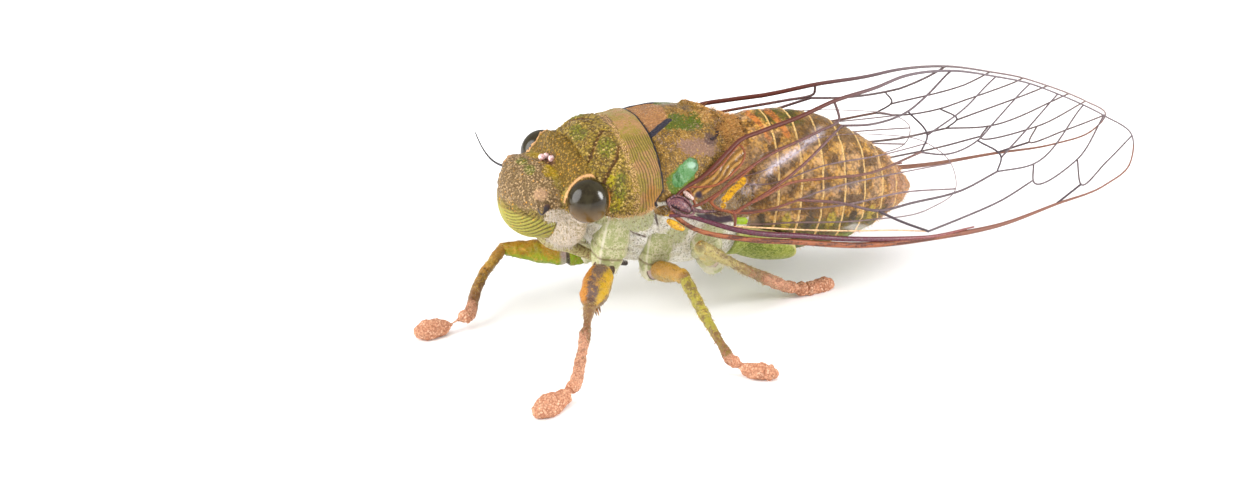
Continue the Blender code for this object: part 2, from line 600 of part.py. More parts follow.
def wing_net(frame, veins):
    """Flat triangles of a wing, with edges along every vein, and how high each point stands."""
    outline, crests = wing_layout(frame, veins)
    points = [tuple(point) for point in outline]
    edges = [(i, (i + 1) % len(outline)) for i in range(len(outline))]
    for index, (size, crest) in enumerate(crests):
        ahead = np.gradient(crest, axis=0)
        ahead /= np.linalg.norm(ahead, axis=1)[:, None]
        aside = np.stack([-ahead[:, 1], ahead[:, 0]], axis=1) * size[0] / 2
        others = [line for other, (_, line) in enumerate(crests) if other != index]
        for line, is_crest in ((crest, True), (crest + aside, False), (crest - aside, False)):
            keep = np.ones(len(line), bool)
            if not is_crest:
                for other in others:
                    keep &= distance_to_line(line, other) > size[0] * FOOT_CLEAR_OF_VEIN
                keep &= distance_to_line(line, np.concatenate([outline, outline[:1]])) > FOOT_CLEAR_OF_EDGE
                if index == 0:
                    keep &= distance_to_line(line, crest) > size[0] * FOOT_CLEAR_OF_RIM
            first = len(points)
            points.extend(tuple(point) for point in line)
            edges.extend((first + i, first + i + 1) for i in range(len(line) - 1) if keep[i] and keep[i + 1])
            if not is_crest:
                loose = [i for i in range(len(line)) if not keep[i]]
                for i in reversed(loose):
                    points[first + i] = points[0]
    flat, _, triangles, _, _, _ = geometry.delaunay_2d_cdt(
        [Vector(point) for point in points], edges, [], 1, MERGE_DISTANCE)
    flat = np.array([tuple(point) for point in flat])
    height = np.zeros(len(flat))
    for (width, rise), crest in crests:
        slope = np.clip(1 - distance_to_line(flat, crest) / (width / 2), 0, 1)
        height = np.maximum(height, rise * slope)
    return flat, [tuple(triangle) for triangle in triangles], height


def make_wing(name, side, frame, veins, drop):
    """Wing solid: the same triangles on both faces, veins raised on the upper one."""
    flat, triangles, height = wing_net(frame, veins)
    count = len(flat)
    upper = wing_surface(flat, height + WING_THICKNESS / 2 - drop)
    lower = wing_surface(flat, np.full(count, -WING_THICKNESS / 2 - drop))
    points = np.concatenate([upper, lower])
    points[:, 0] *= side
    faces = triangles + [tuple(index + count for index in reversed(triangle)) for triangle in triangles]
    sides = {(triangle[i], triangle[(i + 1) % 3]) for triangle in triangles for i in range(3)}
    for start, end in sorted(sides):
        if (end, start) not in sides:
            faces.append((end, start, start + count, end + count))
    return add_solid(name, stand(points), faces, "wing_film")


def wing_clearance(side, start, end, count):
    """Closed block that takes the space of the folded wings and all outside them, from
    start to end along the forewing."""
    upper_edge = np.array([point for point, _ in FORE_FRAME[-UPPER_EDGE_POINTS:]])[::-1]
    rows = np.linspace(start, end, count)
    top = np.interp(rows, upper_edge[:, 0], upper_edge[:, 1]) + UPPER_EDGE_FILM + GAP
    layers = []
    for u, v_top in zip(rows, top):
        v = np.linspace(CLEARANCE_LOW, v_top, 9)
        flat = np.stack([np.full_like(v, u), v], axis=1)
        depth = WING_THICKNESS / 2 + GAP + HINDWING_DROP * float(smoothstep(*HINDWING_ROOT_SPAN, u))
        inner = wing_surface(flat, np.full(len(v), -depth))
        outer = wing_surface(flat, np.full(len(v), CLEARANCE_REACH))
        loop = np.concatenate([inner, outer[::-1]])
        loop[:, 0] *= side
        layers.append(loop)
    return loft("wing_clearance", stand(np.array(layers)), "wing_film")


def spine(root, direction, length):
    """Tapered spine from just inside a leg's surface."""
    direction = np.asarray(direction, float) / np.linalg.norm(direction)
    path = np.asarray(root) + np.array(SPINE_SHARES) * direction * length
    return tube("spine", path, SPINE_RADII, 5, "leg_shell")


def limb(name, start, end, radii, sides, finish, grow=0.0, bow=(0, 0, 0), floor=None):
    """Leg segment between two joints, bowed a little, its radii spread evenly along it."""
    middle = (np.asarray(start) + np.asarray(end)) / 2 + np.asarray(bow)
    path = curve_through([start, middle, end], np.linalg.norm(np.subtract(end, start)) / SPANS_OF_LIMB)
    if floor is not None:
        settled = 1 - smoothstep(0.0, FOOT_SETTLED_AT, np.linspace(0, 1, len(path)))
        path[:, 2] = end[2] + (start[2] - end[2]) * settled
    share = np.linspace(0, len(radii) - 1, len(path))
    return tube(name, path, np.interp(share, np.arange(len(radii)), radii), sides, finish, grow, floor)


def segment_ends(joints):
    """Where each leg segment starts and ends, drawn back from its joints."""
    points = [np.asarray(joint, float) for joint in joints]
    ends = []
    for start, end in zip(points[:-1], points[1:]):
        ahead = (end - start) / np.linalg.norm(end - start)
        ends.append((start + ahead * SEGMENT_SETBACK[0], end - ahead * SEGMENT_SETBACK[1]))
    return ends


def make_leg(name, joints):
    """Coxa, femur, tibia and mud-coated foot, each cut clear of the next."""
    kind = name.split("_")[0]
    ends = segment_ends(joints)
    bow = TIBIA_BOW.get(name, PLAIN_BOW)
    plans = [
        ("coxa", ends[0], COXA_RADII[kind], 10, "pale_joint", (0, 0, 0), None),
        ("femur", ends[1], FEMUR_RADII[kind], 8, "leg_shell", FEMUR_BOW, None),
        ("tibia", ends[2], TIBIA_RADII[kind], 8, "leg_shell", bow, None),
        ("foot", ends[3], CLUB_RADII[kind], 10, "dried_mud", (0, 0, 0), 0.0),
    ]
    made = []
    for part, (start, end), radii, sides, finish, bend, floor in plans:
        made.append(limb(f"{part}_{name}", start, end, radii, sides, finish, 0.0, bend, floor))
    femur_start, femur_end = ends[1]
    shin_start, shin_end = ends[2]
    if kind == "fore":
        run = femur_end - femur_start
        down = np.array([0, 0, -1.0])
        under = [spine(femur_start + run * share + down * FEMUR_SPINE_DEPTH, run * FEMUR_SPINE_LEAN + down,
                       SPINE_LENGTH) for share in FEMUR_SPINES]
        combine(made[1], under, "UNION")
    else:
        run = shin_end - shin_start
        aside = np.cross(run / np.linalg.norm(run), (0, 0, 1))
        spurs = [spine(shin_start + run * share + aside * flip * SHIN_SPUR_DEPTH,
                       run * SHIN_SPUR_LEAN + aside * flip, SPUR_LENGTH) for share, flip in SHIN_SPURS]
        combine(made[2], spurs, "UNION")
    for index in range(3):
        _, (start, end), radii, sides, finish, bend, floor = plans[index + 1]
        cutter = limb("clearance", start, end, radii, sides, finish, GAP, bend, None)
        combine(made[index], [cutter], "DIFFERENCE")
    coxa = plans[0]
    return limb("clearance", *coxa[1], coxa[2], coxa[3], coxa[4], GAP, coxa[5], None)


def make_antenna(name, side, grow=0.0):
    """Bristle: two thick base joints and a long thin lash that curves up to its tip."""
    base = np.array(mirrored(ANTENNA_BASE, side))
    reach = np.array(mirrored(ANTENNA_REACH[side], side))
    share = np.array(ANTENNA_SHARES)
    rise = np.clip(share, 0, 1) ** 3
    path = base + np.stack([share, share, rise], axis=1) * reach
    path[:, 2] -= ANTENNA_SAG * np.sin(np.clip(share, 0, 1) * math.pi)
    return tube(name, stand(path), ANTENNA_RADII, 7, "feeler", grow)


def centre_on_floor():
    """Moves every solid so that the middle of the whole box's floor is the origin."""
    solids = [solid for solid in bpy.data.objects if solid.type == "MESH"]
    corners = np.array([tuple(vertex.co) for solid in solids for vertex in solid.data.vertices])
    low = corners.min(axis=0)
    high = corners.max(axis=0)
    shift = Vector((-(low[0] + high[0]) / 2, -(low[1] + high[1]) / 2, -low[2]))
    for solid in solids:
        for vertex in solid.data.vertices:
            vertex.co += shift
    print("moved by", [round(value / METRES, 3) for value in shift])


def main():
    """Builds every solid, cuts neighbours clear of each other, and sets it on the floor."""
    for thing in list(bpy.data.objects):
        bpy.data.objects.remove(thing)
    head = make_head()
    shield_outline = (SHIELD_HALF_WIDTH, SHIELD_TOP, SHIELD_LEVEL, SHIELD_FLANK, SHIELD_BOTTOM,
                      SHIELD_SHOULDER)
    shield = make_trunk("pronotum", SHIELD_STATIONS, shield_outline, SHIELD_ROWS, "green_shell")
    thorax_outline = (THORAX_HALF_WIDTH, THORAX_TOP, THORAX_LEVEL, THORAX_FLANK, THORAX_BOTTOM,
                      THORAX_SHOULDER)
    thorax = make_trunk("thorax", THORAX_STATIONS, thorax_outline, THORAX_ROWS, "shell")
    abdomen = make_abdomen()
    combine(thorax, make_cross(), "UNION")
    beak_path = stand(curve_through(BEAK_LINE, 2.0))
    beak_radii = np.interp(np.linspace(0, 4, len(beak_path)), np.arange(5), BEAK_RADII)
    tube("beak", beak_path, beak_radii, 9, "green_shell")
    head_cuts = [tube("clearance", beak_path, beak_radii, 9, "green_shell", GAP)]
    shield_cuts = []
    thorax_cuts = []
    abdomen_cuts = []
    for side, word in ((1, "left"), (-1, "right")):
        eye_centre = mirrored(EYE_CENTRE, side)
        ball(f"eye_{word}", eye_centre, EYE_HALF, 12, 20, "eye_gloss")
        head_cuts.append(ball("clearance", eye_centre, EYE_HALF, 12, 20, "eye_gloss", GAP))
        shield_cuts.append(ball("clearance", eye_centre, EYE_HALF, 12, 20, "eye_gloss", GAP))
        make_antenna(f"antenna_{word}", side)
        head_cuts.append(make_antenna("clearance", side, GAP))
        make_drum_cover(f"drum_cover_{word}", side)
        make_wing(f"forewing_{word}", side, FORE_FRAME, FORE_VEINS, 0.0)
        make_wing(f"hindwing_{word}", side, HIND_FRAME, HIND_VEINS, HINDWING_DROP)
        thorax_cuts.append(wing_clearance(side, -0.8, 12.0, 11))
        abdomen_cuts.append(wing_clearance(side, 5.0, 24.5, 12))
    for name, joints in LEGS.items():
        socket = make_leg(name, joints)
        (shield_cuts if name.startswith("fore") else thorax_cuts).append(socket)
    combine(head, head_cuts, "DIFFERENCE")
    combine(shield, shield_cuts, "DIFFERENCE")
    combine(thorax, thorax_cuts, "DIFFERENCE")
    combine(abdomen, abdomen_cuts, "DIFFERENCE")
    centre_on_floor()


main()
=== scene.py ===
"""Looks of a large green and brown cicada at rest, built around its solids.

The animal is laid out in a body frame: millimetres, X to its left, Y from head to tail, Z up,
with the origin in the middle of the rear edge of the front thorax plate. place() stands that
frame on its legs and turns it into the frame of the solids, in metres. Wings are laid out flat
(u along the wing, v across it) and then bent onto the roof that they form over the body.
"""

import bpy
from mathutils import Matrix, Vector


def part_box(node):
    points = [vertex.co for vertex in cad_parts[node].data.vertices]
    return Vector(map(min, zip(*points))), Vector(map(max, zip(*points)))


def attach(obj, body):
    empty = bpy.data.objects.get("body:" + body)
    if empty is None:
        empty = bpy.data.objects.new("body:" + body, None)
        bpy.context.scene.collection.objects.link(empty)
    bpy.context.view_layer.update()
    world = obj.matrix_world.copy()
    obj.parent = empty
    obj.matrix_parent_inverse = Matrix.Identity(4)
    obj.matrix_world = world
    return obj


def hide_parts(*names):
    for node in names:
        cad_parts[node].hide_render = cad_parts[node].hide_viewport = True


bl_info = {
    "name": "Resting Cicada",
    "version": (1, 0, 0),
    "blender": (4, 5, 0),
    "location": "View3D > Sidebar > Cicada",
    "description": "Builds the skin, wings, legs, hair and studio stage of a resting cicada",
    "category": "Object",
}

import itertools
import math

import bpy
import numpy as np
from bpy.props import FloatProperty, FloatVectorProperty, PointerProperty
from mathutils import Matrix, Vector

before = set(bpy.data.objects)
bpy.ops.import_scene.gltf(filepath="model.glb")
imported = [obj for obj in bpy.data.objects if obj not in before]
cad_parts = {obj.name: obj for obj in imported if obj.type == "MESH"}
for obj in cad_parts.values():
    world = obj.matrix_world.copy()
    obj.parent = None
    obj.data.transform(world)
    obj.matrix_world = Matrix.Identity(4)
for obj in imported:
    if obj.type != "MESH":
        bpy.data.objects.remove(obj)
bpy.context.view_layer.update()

# Body frame
MM = 0.001
PITCH = math.radians(6.5)
LIFT = 9.6
SIDES = ((1, "left"), (-1, "right"))
CAP_ANGLES = np.radians([25, 50, 72])

# Head
HEAD_CENTRE = (0.0, -6.0, 0.2)
HEAD_MASSES = {
    "crown": ((0.0, -4.9, 0.9), (5.5, 1.5, 2.7)),
    "temples": ((0.0, -5.2, 0.6), (5.9, 1.7, 1.85)),
    "brow": ((0.0, -6.8, 0.15), (4.3, 2.8, 2.0)),
    "snout": ((0.0, -7.2, -0.9), (3.0, 2.65, 2.65)),
    "cheeks": ((0.0, -5.2, -1.4), (3.9, 1.9, 2.9)),
}
HEAD_SHARPNESS = 14
HEAD_REAR = -4.4
EYE_CENTRE = (4.95, -5.0, 0.85)
EYE_HALF = (1.4, 1.58, 1.64)
OCELLI = ((0.0, -6.9, 2.42), (0.38, -6.3, 2.42), (-0.38, -6.42, 2.32))
OCELLUS_RADIUS = 0.25
ANTENNA_BASE = (3.7, -7.55, 0.3)
ANTENNA_REACH = {1: (2.9, -1.9, 0.9), -1: (2.6, -2.2, 1.8)}
ANTENNA_SAG = 0.25
BEAK_LINE = ((0.0, -6.5, -3.0), (0.0, -5.6, -4.0), (0.0, -3.9, -4.85), (0.0, -1.8, -5.8), (0.0, 0.3, -6.35))

# Thorax and abdomen: stations along the body, with the outline's values at each
SHIELD_STATIONS = (-4.6, -3.95, -3.0, -2.0, -1.0, -0.3, 0.15)
SHIELD_HALF_WIDTH = (4.7, 4.95, 5.3, 5.6, 6.05, 6.45, 6.4)
SHIELD_TOP = (3.95, 4.35, 4.75, 5.0, 5.12, 5.2, 5.18)
SHIELD_LEVEL = (-0.1, -0.1, -0.3, -0.2, 0.1, 0.5, 0.7)
SHIELD_FLANK = (3.1, 3.4, 3.9, 4.2, 4.4, 4.6, 4.6)
SHIELD_BOTTOM = (-2.2, -2.8, -4.2, -4.9, -5.4, -5.6, -5.7)
SHIELD_SHOULDER = (0.78, 0.8, 0.85, 0.92, 0.98, 1.0, 1.0)
THORAX_STATIONS = (-0.2, 0.45, 1.5, 3.0, 4.5, 6.0, 7.2, 8.05, 8.4)
THORAX_HALF_WIDTH = (5.7, 5.9, 5.8, 5.5, 5.0, 4.4, 3.9, 3.7, 3.3)
THORAX_TOP = (4.8, 5.2, 5.55, 5.7, 5.55, 5.1, 4.9, 4.85, 4.6)
THORAX_SHOULDER = (1.0,) * 9
THORAX_LEVEL = (0.9, 0.9, 0.8, 0.6, 0.5, 0.5, 0.6, 0.6, 0.6)
THORAX_FLANK = (4.4, 4.5, 4.6, 4.6, 4.5, 4.3, 4.1, 3.9, 3.5)
THORAX_BOTTOM = (-5.4, -5.7, -6.0, -6.1, -6.1, -6.0, -5.8, -5.5, -5.0)
ABDOMEN_STATIONS = (8.2, 9.5, 11.5, 14.0, 16.5, 18.5, 20.5, 21.8, 22.5)
ABDOMEN_HALF_WIDTH = (3.7, 4.2, 4.4, 4.35, 3.95, 3.3, 2.3, 1.3, 0.5)
ABDOMEN_TOP = (4.75, 4.9, 4.9, 4.5, 3.5, 2.4, 0.9, -0.5, -1.2)
ABDOMEN_BOTTOM = (-4.9, -5.3, -5.6, -5.7, -5.4, -4.7, -3.6, -2.7, -2.0)
SEGMENT_EDGES = (8.2, 10.2, 12.0, 13.75, 15.65, 17.45, 19.2, 20.7, 21.8, 22.5)
LIP_DEPTH = 0.25

# Wings at rest
WING_ROOT = (6.2, 0.8, 0.6)
WING_SWEEP = math.radians(5.6)
WING_RISE = math.radians(1.8)
WING_ROOF = math.radians(59)
WING_CAMBER = 0.7
CAMBER_MIDDLE = -0.3
CAMBER_HALF_WIDTH = 5.2
CAMBER_FULL_AT = 8.0
CAMBER_FADE = (20.0, 40.0)
MIDLINE_CLEARANCE = 0.35
MIDLINE_SOFTNESS = 0.3
HINDWING_DROP = 0.8
WING_REACH = 38.0
WRINKLE_SPACING = 0.42
# The vein that runs round each wing, with the width of film outside it
FORE_FRAME = (
    ((0.0, -0.6), 0.2), ((1.2, -1.7), 0.2), ((4.8, -3.1), 0.2), ((9.5, -4.0), 0.2), ((14.4, -4.85), 0.2),
    ((20.7, -5.1), 0.2), ((26.3, -4.9), 0.2), ((31.3, -4.0), 0.2), ((35.9, -3.1), 0.3), ((38.4, -1.8), 0.8),
    ((39.1, 0.3), 1.5), ((37.0, 2.1), 1.2), ((35.4, 3.1), 1.0), ((33.4, 4.2), 1.0), ((31.2, 5.3), 1.0),
    ((28.4, 6.2), 0.9), ((24.7, 7.1), 0.8), ((20.9, 7.1), 0.7), ((18.4, 6.5), 0.6), ((14.7, 5.9), 0.3),
    ((11.7, 5.1), 0.2), ((8.3, 4.4), 0.2), ((6.4, 3.95), 0.2), ((5.4, 3.35), 0.2), ((4.4, 2.65), 0.2),
    ((3.5, 2.05), 0.2), ((2.6, 1.55), 0.2), ((1.6, 1.2), 0.2), ((0.6, 0.6), 0.2),
)
FORE_VEINS = (
    (0.12, 0.10, "cell", ((0.7, -0.3), (1.9, -0.3), (2.7, -0.1), (3.2, 0.1), (4.1, 0.5), (5.2, 1.2),
                          (6.5, 1.8), (7.9, 2.4), (11.0, 3.3), (12.8, 3.8), (14.8, 4.6), (14.7, 5.9))),
    (0.11, 0.09, "amber", ((3.1, -0.2), (3.5, -0.7), (4.4, -1.1), (4.7, -1.25), (5.5, -0.9), (7.2, -0.4),
                           (9.4, 0.3), (12.0, 0.3), (15.9, 0.2), (20.6, 1.2))),
    (0.08, 0.07, "amber", ((3.1, -0.2), (3.4, 0.0), (4.7, 0.8), (5.8, 1.3), (6.9, 1.9))),
    (0.10, 0.08, "cell", ((4.7, -1.25), (5.8, -1.4), (7.0, -1.4), (9.9, -1.0))),
    (0.13, 0.10, "cell", ((4.6, -1.1), (4.75, -1.5), (4.6, -2.1))),
    (0.07, 0.05, "pale",
     ((4.5, -2.2), (6.8, -2.62), (9.6, -3.12), (13.6, -3.72), (17.8, -4.22), (20.2, -4.6))),
    (0.12, 0.10, "amber", ((0.8, 0.5), (1.6, 1.0), (1.8, 0.4), (1.95, -0.3))),
    (0.09, 0.07, "amber", ((1.7, 1.1), (3.9, 1.0), (4.7, 1.3), (5.3, 1.7), (6.1, 2.3), (6.5, 3.0),
                           (6.3, 3.6), (5.6, 3.2), (4.6, 2.4), (3.4, 1.7))),
    (0.11, 0.08, "cell",
     ((9.9, -1.0), (13.1, -1.6), (16.4, -2.6), (19.0, -2.4), (23.4, -2.0), (26.7, -1.0))),
    (0.10, 0.09, "dark", ((16.3, -2.65), (17.8, -3.5), (20.2, -4.6))),
    (0.08, 0.07, "cell", ((20.2, -4.6), (23.1, -4.0), (26.8, -3.1), (29.7, -2.0))),
    (0.12, 0.10, "cell", ((4.75, -1.2), (7.6, -0.1), (10.3, 1.2), (14.8, 4.0))),
    (0.09, 0.08, "cell", ((14.8, 4.0), (17.2, 3.8), (20.5, 4.4), (22.4, 5.4), (24.7, 7.1))),
    (0.07, 0.07, "dark", ((20.5, 4.4), (21.5, 2.4), (20.6, 1.2))),
    (0.07, 0.06, "cell", ((21.5, 2.4), (25.5, 4.2), (28.4, 6.2))),
    (0.07, 0.06, "cell", ((20.6, 1.2), (22.6, 0.8), (25.6, 1.5), (27.4, 2.7), (31.2, 5.3))),
    (0.07, 0.07, "dark", ((25.6, 1.5), (27.3, 0.0), (26.7, -1.0))),
    (0.07, 0.06, "cell", ((27.3, 0.0), (31.0, 2.5), (33.4, 4.2))),
    (0.07, 0.06, "cell", ((26.7, -1.0), (30.0, -0.8), (35.4, 3.1))),
    (0.07, 0.06, "cell", ((30.0, -0.8), (29.7, -2.0), (33.9, -0.9), (37.0, 2.1))),
    (0.07, 0.06, "cell", ((33.9, -0.9), (33.8, -2.8), (36.4, -1.4), (39.1, 0.3))),
    (0.08, 0.08, "dark", ((33.8, -2.8), (31.3, -4.0))),
)
STRONG_VEIN = ((-0.2, -0.75), (0.6, -0.8), (1.3, -1.0), (2.0, -1.3), (3.4, -1.95), (4.9, -2.55),
               (6.7, -3.05), (9.5, -3.55), (13.6, -4.3), (17.7, -4.8), (20.4, -5.0), (24.0, -4.75))
STRONG_LIFT = 0.1
STRONG_WIDTHS = (0.12, 0.16, 0.2, 0.21, 0.2, 0.19, 0.18, 0.16, 0.12, 0.06)
EDGE_WIDTHS = {"fore": (0.16, 0.2, 0.22, 0.22, 0.19, 0.12, 0.07, 0.06, 0.06, 0.07, 0.11, 0.15, 0.17, 0.16,
                        0.14), "hind": (0.08, 0.06, 0.045, 0.035, 0.03, 0.03, 0.03)}
HIND_FRAME = (
    ((3.4, -0.8), 0.2), ((5.0, -1.8), 0.2), ((10.0, -2.6), 0.2), ((16.0, -3.2), 0.2), ((21.0, -3.0), 0.2),
    ((23.4, -1.8), 0.4), ((23.4, 0.2), 0.5), ((21.8, 2.0), 0.5), ((18.0, 3.2), 0.5), ((13.0, 3.6), 0.4),
    ((8.0, 2.8), 0.3), ((4.4, 1.2), 0.3),
)
HIND_VEINS = (
    (0.08, 0.06, "cell", ((3.4, -0.8), (8.0, -1.4), (14.0, -1.8), (19.0, -1.5), (23.4, -1.8))),
    (0.06, 0.05, "cell", ((8.0, -1.4), (13.0, -0.4), (18.5, 0.0), (23.4, 0.2))),
    (0.06, 0.05, "cell", ((4.4, 1.2), (8.0, 0.6), (13.0, 1.4), (18.0, 1.6), (21.8, 2.0))),
    (0.06, 0.05, "cell", ((4.4, 1.2), (9.0, 1.9), (13.0, 3.6))),
)

# Legs: joints from the body outwards, with the feet on the floor
LEGS = {
    "fore_left": ((3.2, -2.5, 7.6), (3.1, -3.1, 4.9), (8.3, -6.2, 4.6), (13.4, -9.3, 1.1),
                  (15.3, -12.7, 0.62)),
    "fore_right": ((-2.9, -2.3, 6.8), (-2.4, -2.5, 3.6), (-4.9, -8.2, 3.9), (-0.7, -12.4, 1.0),
                   (-0.3, -16.2, 0.62)),
    "mid_left": ((3.1, 0.9, 6.2), (3.2, 0.4, 3.9), (8.0, 1.1, 5.2), (14.2, 2.1, 1.1), (16.3, 4.5, 0.52)),
    "mid_right": ((-3.1, 0.9, 6.2), (-3.2, 0.4, 3.9), (-7.8, 0.7, 5.1), (-13.6, 1.6, 1.1),
                  (-15.8, 3.9, 0.52)),
    "hind_left": ((3.0, 4.3, 6.0), (4.0, 4.9, 3.9), (7.3, 2.7, 7.0), (4.3, 10.6, 1.0), (3.8, 14.1, 0.42)),
    "hind_right": ((-3.0, 4.3, 6.0), (-4.0, 4.9, 3.9), (-7.2, 2.9, 6.9), (-5.0, 10.4, 1.0),
                   (-5.0, 13.9, 0.42)),
}
COXA_RADII = {"fore": (1.05, 1.15, 1.15, 0.85), "mid": (1.1, 1.1, 1.05, 0.8), "hind": (1.2, 1.2, 1.05, 0.8)}
TIBIA_BOW = {"fore_right": (-0.2, -0.35, 0.1)}
PLAIN_TIBIA_BOW = (0.0, 0.0, -0.15)
FEMUR_BOW = {"fore_right": (0.0, 0.0, -0.12)}
PLAIN_FEMUR_BOW = (0.0, 0.0, 0.1)
RING_END = {"fore_right": 0.22}
PLAIN_RING_END = 0.13
LEG_STEP = 0.07
# Spines under the front femora: their shares of its length, which way they point, their lengths
SPINE_SHARES = (0.36, 0.47, 0.58, 0.69, 0.79, 0.88, 0.95)
SPINE_WAY = {"fore_left": (0.3, 0.35, -1.0), "fore_right": (0.25, 0.0, -1.0)}
SPINE_LENGTHS = {"fore_left": (0.3, 0.24, 0.34, 0.26, 0.5, 0.55, 0.5), "fore_right": (0.22,) * 7}

# Camera, in the frame of the legs, with the lens of a 36 mm wide sensor
CAMERA_AZIMUTH = math.radians(70.0)
CAMERA_ELEVATION = math.radians(24.2)
CAMERA_ROLL = math.radians(-1.8)
CAMERA_DISTANCE = 330.0
CAMERA_TARGET = (-1.6, -0.2, 4.4)
CAMERA_LENS = 130.4
SENSOR_WIDTH = 36.0

# Studio, in metres and watts. A side light has a name, its direction as shares of the camera's
# axes to the right, up and back, its size and its power
FLOOR_HALF = 3.0
SKY_STRENGTH = 0.58
SIDE_LIGHTS = (("softbox_front", (-0.853, 0.256, 0.455), (0.4, 0.46), 2.7),
               ("softbox_rear", (0.902, 0.246, 0.345), (0.15, 0.26), 1.9))
SIDE_LIGHT_DISTANCE = 0.42
TOP_LIGHT_WATTS = 1.15
TOP_LIGHT_DISTANCE = 0.5


def smoothstep(start, end, value):
    """Rises smoothly from 0 at start to 1 at end: 3t^2 - 2t^3 of the clamped share."""
    t = np.clip((value - start) / (end - start), 0.0, 1.0)
    return t * t * (3.0 - 2.0 * t)


def follow(stations, values, at):
    """Smooth curve through the station values: cubic Hermite spans with shared slopes."""
    stations = np.asarray(stations, float)
    values = np.asarray(values, float)
    slopes = np.gradient(values, stations)
    span = np.clip(np.searchsorted(stations, at, side="right") - 1, 0, len(stations) - 2)
    width = stations[span + 1] - stations[span]
    t = (at - stations[span]) / width
    return ((2 * t**3 - 3 * t**2 + 1) * values[span] + (t**3 - 2 * t**2 + t) * width * slopes[span]
            + (3 * t**2 - 2 * t**3) * values[span + 1] + (t**3 - t**2) * width * slopes[span + 1])


def curve_through(points, step):
    """Points about a step apart on a smooth curve that passes through every given point."""
    points = np.asarray(points, float)
    chords = np.linalg.norm(np.diff(points, axis=0), axis=1)
    along = np.concatenate(([0.0], np.cumsum(chords)))
    at = np.linspace(0.0, along[-1], max(4, int(along[-1] / step)))
    if len(points) == 2:
        return points[0] + (points[1] - points[0]) * (at / along[-1])[:, None]
    return np.stack([follow(along, points[:, axis], at) for axis in range(points.shape[1])], axis=1)


def stand(points):
    """Body frame to the frame of the legs: head pitched up, body lifted off the floor."""
    x, y, z = np.moveaxis(np.asarray(points, float), -1, 0)
    cosine = math.cos(PITCH)
    sine = math.sin(PITCH)
    return np.stack([x, cosine * y + sine * z, LIFT - sine * y + cosine * z], axis=-1)


EYE_BOX = [np.array(corner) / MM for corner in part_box("eye_left")]
SHIFT = (EYE_BOX[0] + EYE_BOX[1]) / 2 - stand(EYE_CENTRE)


def place(points):
    """Body frame in millimetres to the frame of the solids in metres."""
    return (stand(points) + SHIFT) * MM


def place_leg(points):
    """Frame of the legs in millimetres to the frame of the solids in metres."""
    return (np.asarray(points, float) + SHIFT) * MM


def mirrored(points, side):
    """Points of the left side, or their mirror image for side -1."""
    return np.asarray(points, float) * np.array([side, 1.0, 1.0])


def folded(points):
    """Points brought to the left side, so that one pattern serves both."""
    return np.abs(points) * np.array([1.0, 0.0, 0.0]) + points * np.array([0.0, 1.0, 1.0])


def lattice_noise(points, size, seed):
    """Smooth noise from -1 to 1: hashed values at the corners of cubes of the given size,
    blended with smoothstep weights along each axis."""
    scaled = np.asarray(points, float) / size
    cell = np.floor(scaled).astype(np.int64)
    t = scaled - cell
    t = t * t * (3.0 - 2.0 * t)
    total = np.zeros(scaled.shape[:-1])
    for corner in itertools.product((0, 1), repeat=3):
        x, y, z = np.moveaxis(cell + np.array(corner), -1, 0)
        key = (x * 73856093) ^ (y * 19349663) ^ (z * 83492791) ^ (seed * 50331653)
        key = (key ^ (key >> 13)) * 1274126177
        value = ((key >> 8) & 0xffff) / 32767.5 - 1.0
        total += value * np.where(corner, t, 1.0 - t).prod(axis=-1)
    return total


def rough_noise(points, size, seed, octaves):
    """Sum of lattice noises, each half the size and half the height of the one before."""
    return sum(lattice_noise(points, size / 2**n, seed + n) / 2**n for n in range(octaves))


def blob(points, centre, radii, softness=0.5):
    """1 inside an ellipsoid and 0 outside: smoothstep of the scaled distance from its centre."""
    distance = np.linalg.norm((points - np.asarray(centre)) / np.asarray(radii), axis=-1)
    return 1.0 - smoothstep(1.0 - softness, 1.0 + softness, distance)


def distance_to_line(points, line):
    """Shortest distance from each point to a line of joined straight segments."""
    line = np.asarray(line, float)
    nearest = np.full(points.shape[:-1], np.inf)
    for start, end in zip(line[:-1], line[1:]):
        run = end - start
        t = np.clip(((points - start) * run).sum(axis=-1) / (run**2).sum(), 0.0, 1.0)
        nearest = np.minimum(nearest, np.linalg.norm(points - start - t[..., None] * run, axis=-1))
    return nearest


def bell(distance, width):
    """1 at distance 0, falling to 0 as exp(-(distance / width)^2)."""
    return np.exp(-(distance / width) ** 2)


def near(points, line, width):
    """1 on a line, falling to 0 beside it as a bell of the given width."""
    return bell(distance_to_line(points, line), width)


def grid_normals(points):
    """Unit normals of a grid whose rows are closed rings: cross product of the differences
    along the rows and round the rings, turned to point away from each ring's middle."""
    down = np.gradient(points, axis=0)
    round_ring = np.roll(points, -1, axis=1) - np.roll(points, 1, axis=1)
    normals = np.cross(down, round_ring)
    normals /= np.linalg.norm(normals, axis=-1)[..., None] + 1e-12
    outward = points - points.mean(axis=1, keepdims=True)
    return normals * np.sign((normals * outward).sum(axis=-1).sum())


def grid_faces(rows, sides, closed=True):
    """Quads of a grid, numbered row by row; a closed one joins each ring's ends."""
    row, side = np.meshgrid(np.arange(rows - 1), np.arange(sides if closed else sides - 1), indexing="ij")
    after = (side + 1) % sides
    return np.stack([row * sides + side, row * sides + after, (row + 1) * sides + after,
                     (row + 1) * sides + side], axis=-1).reshape(-1, 4)


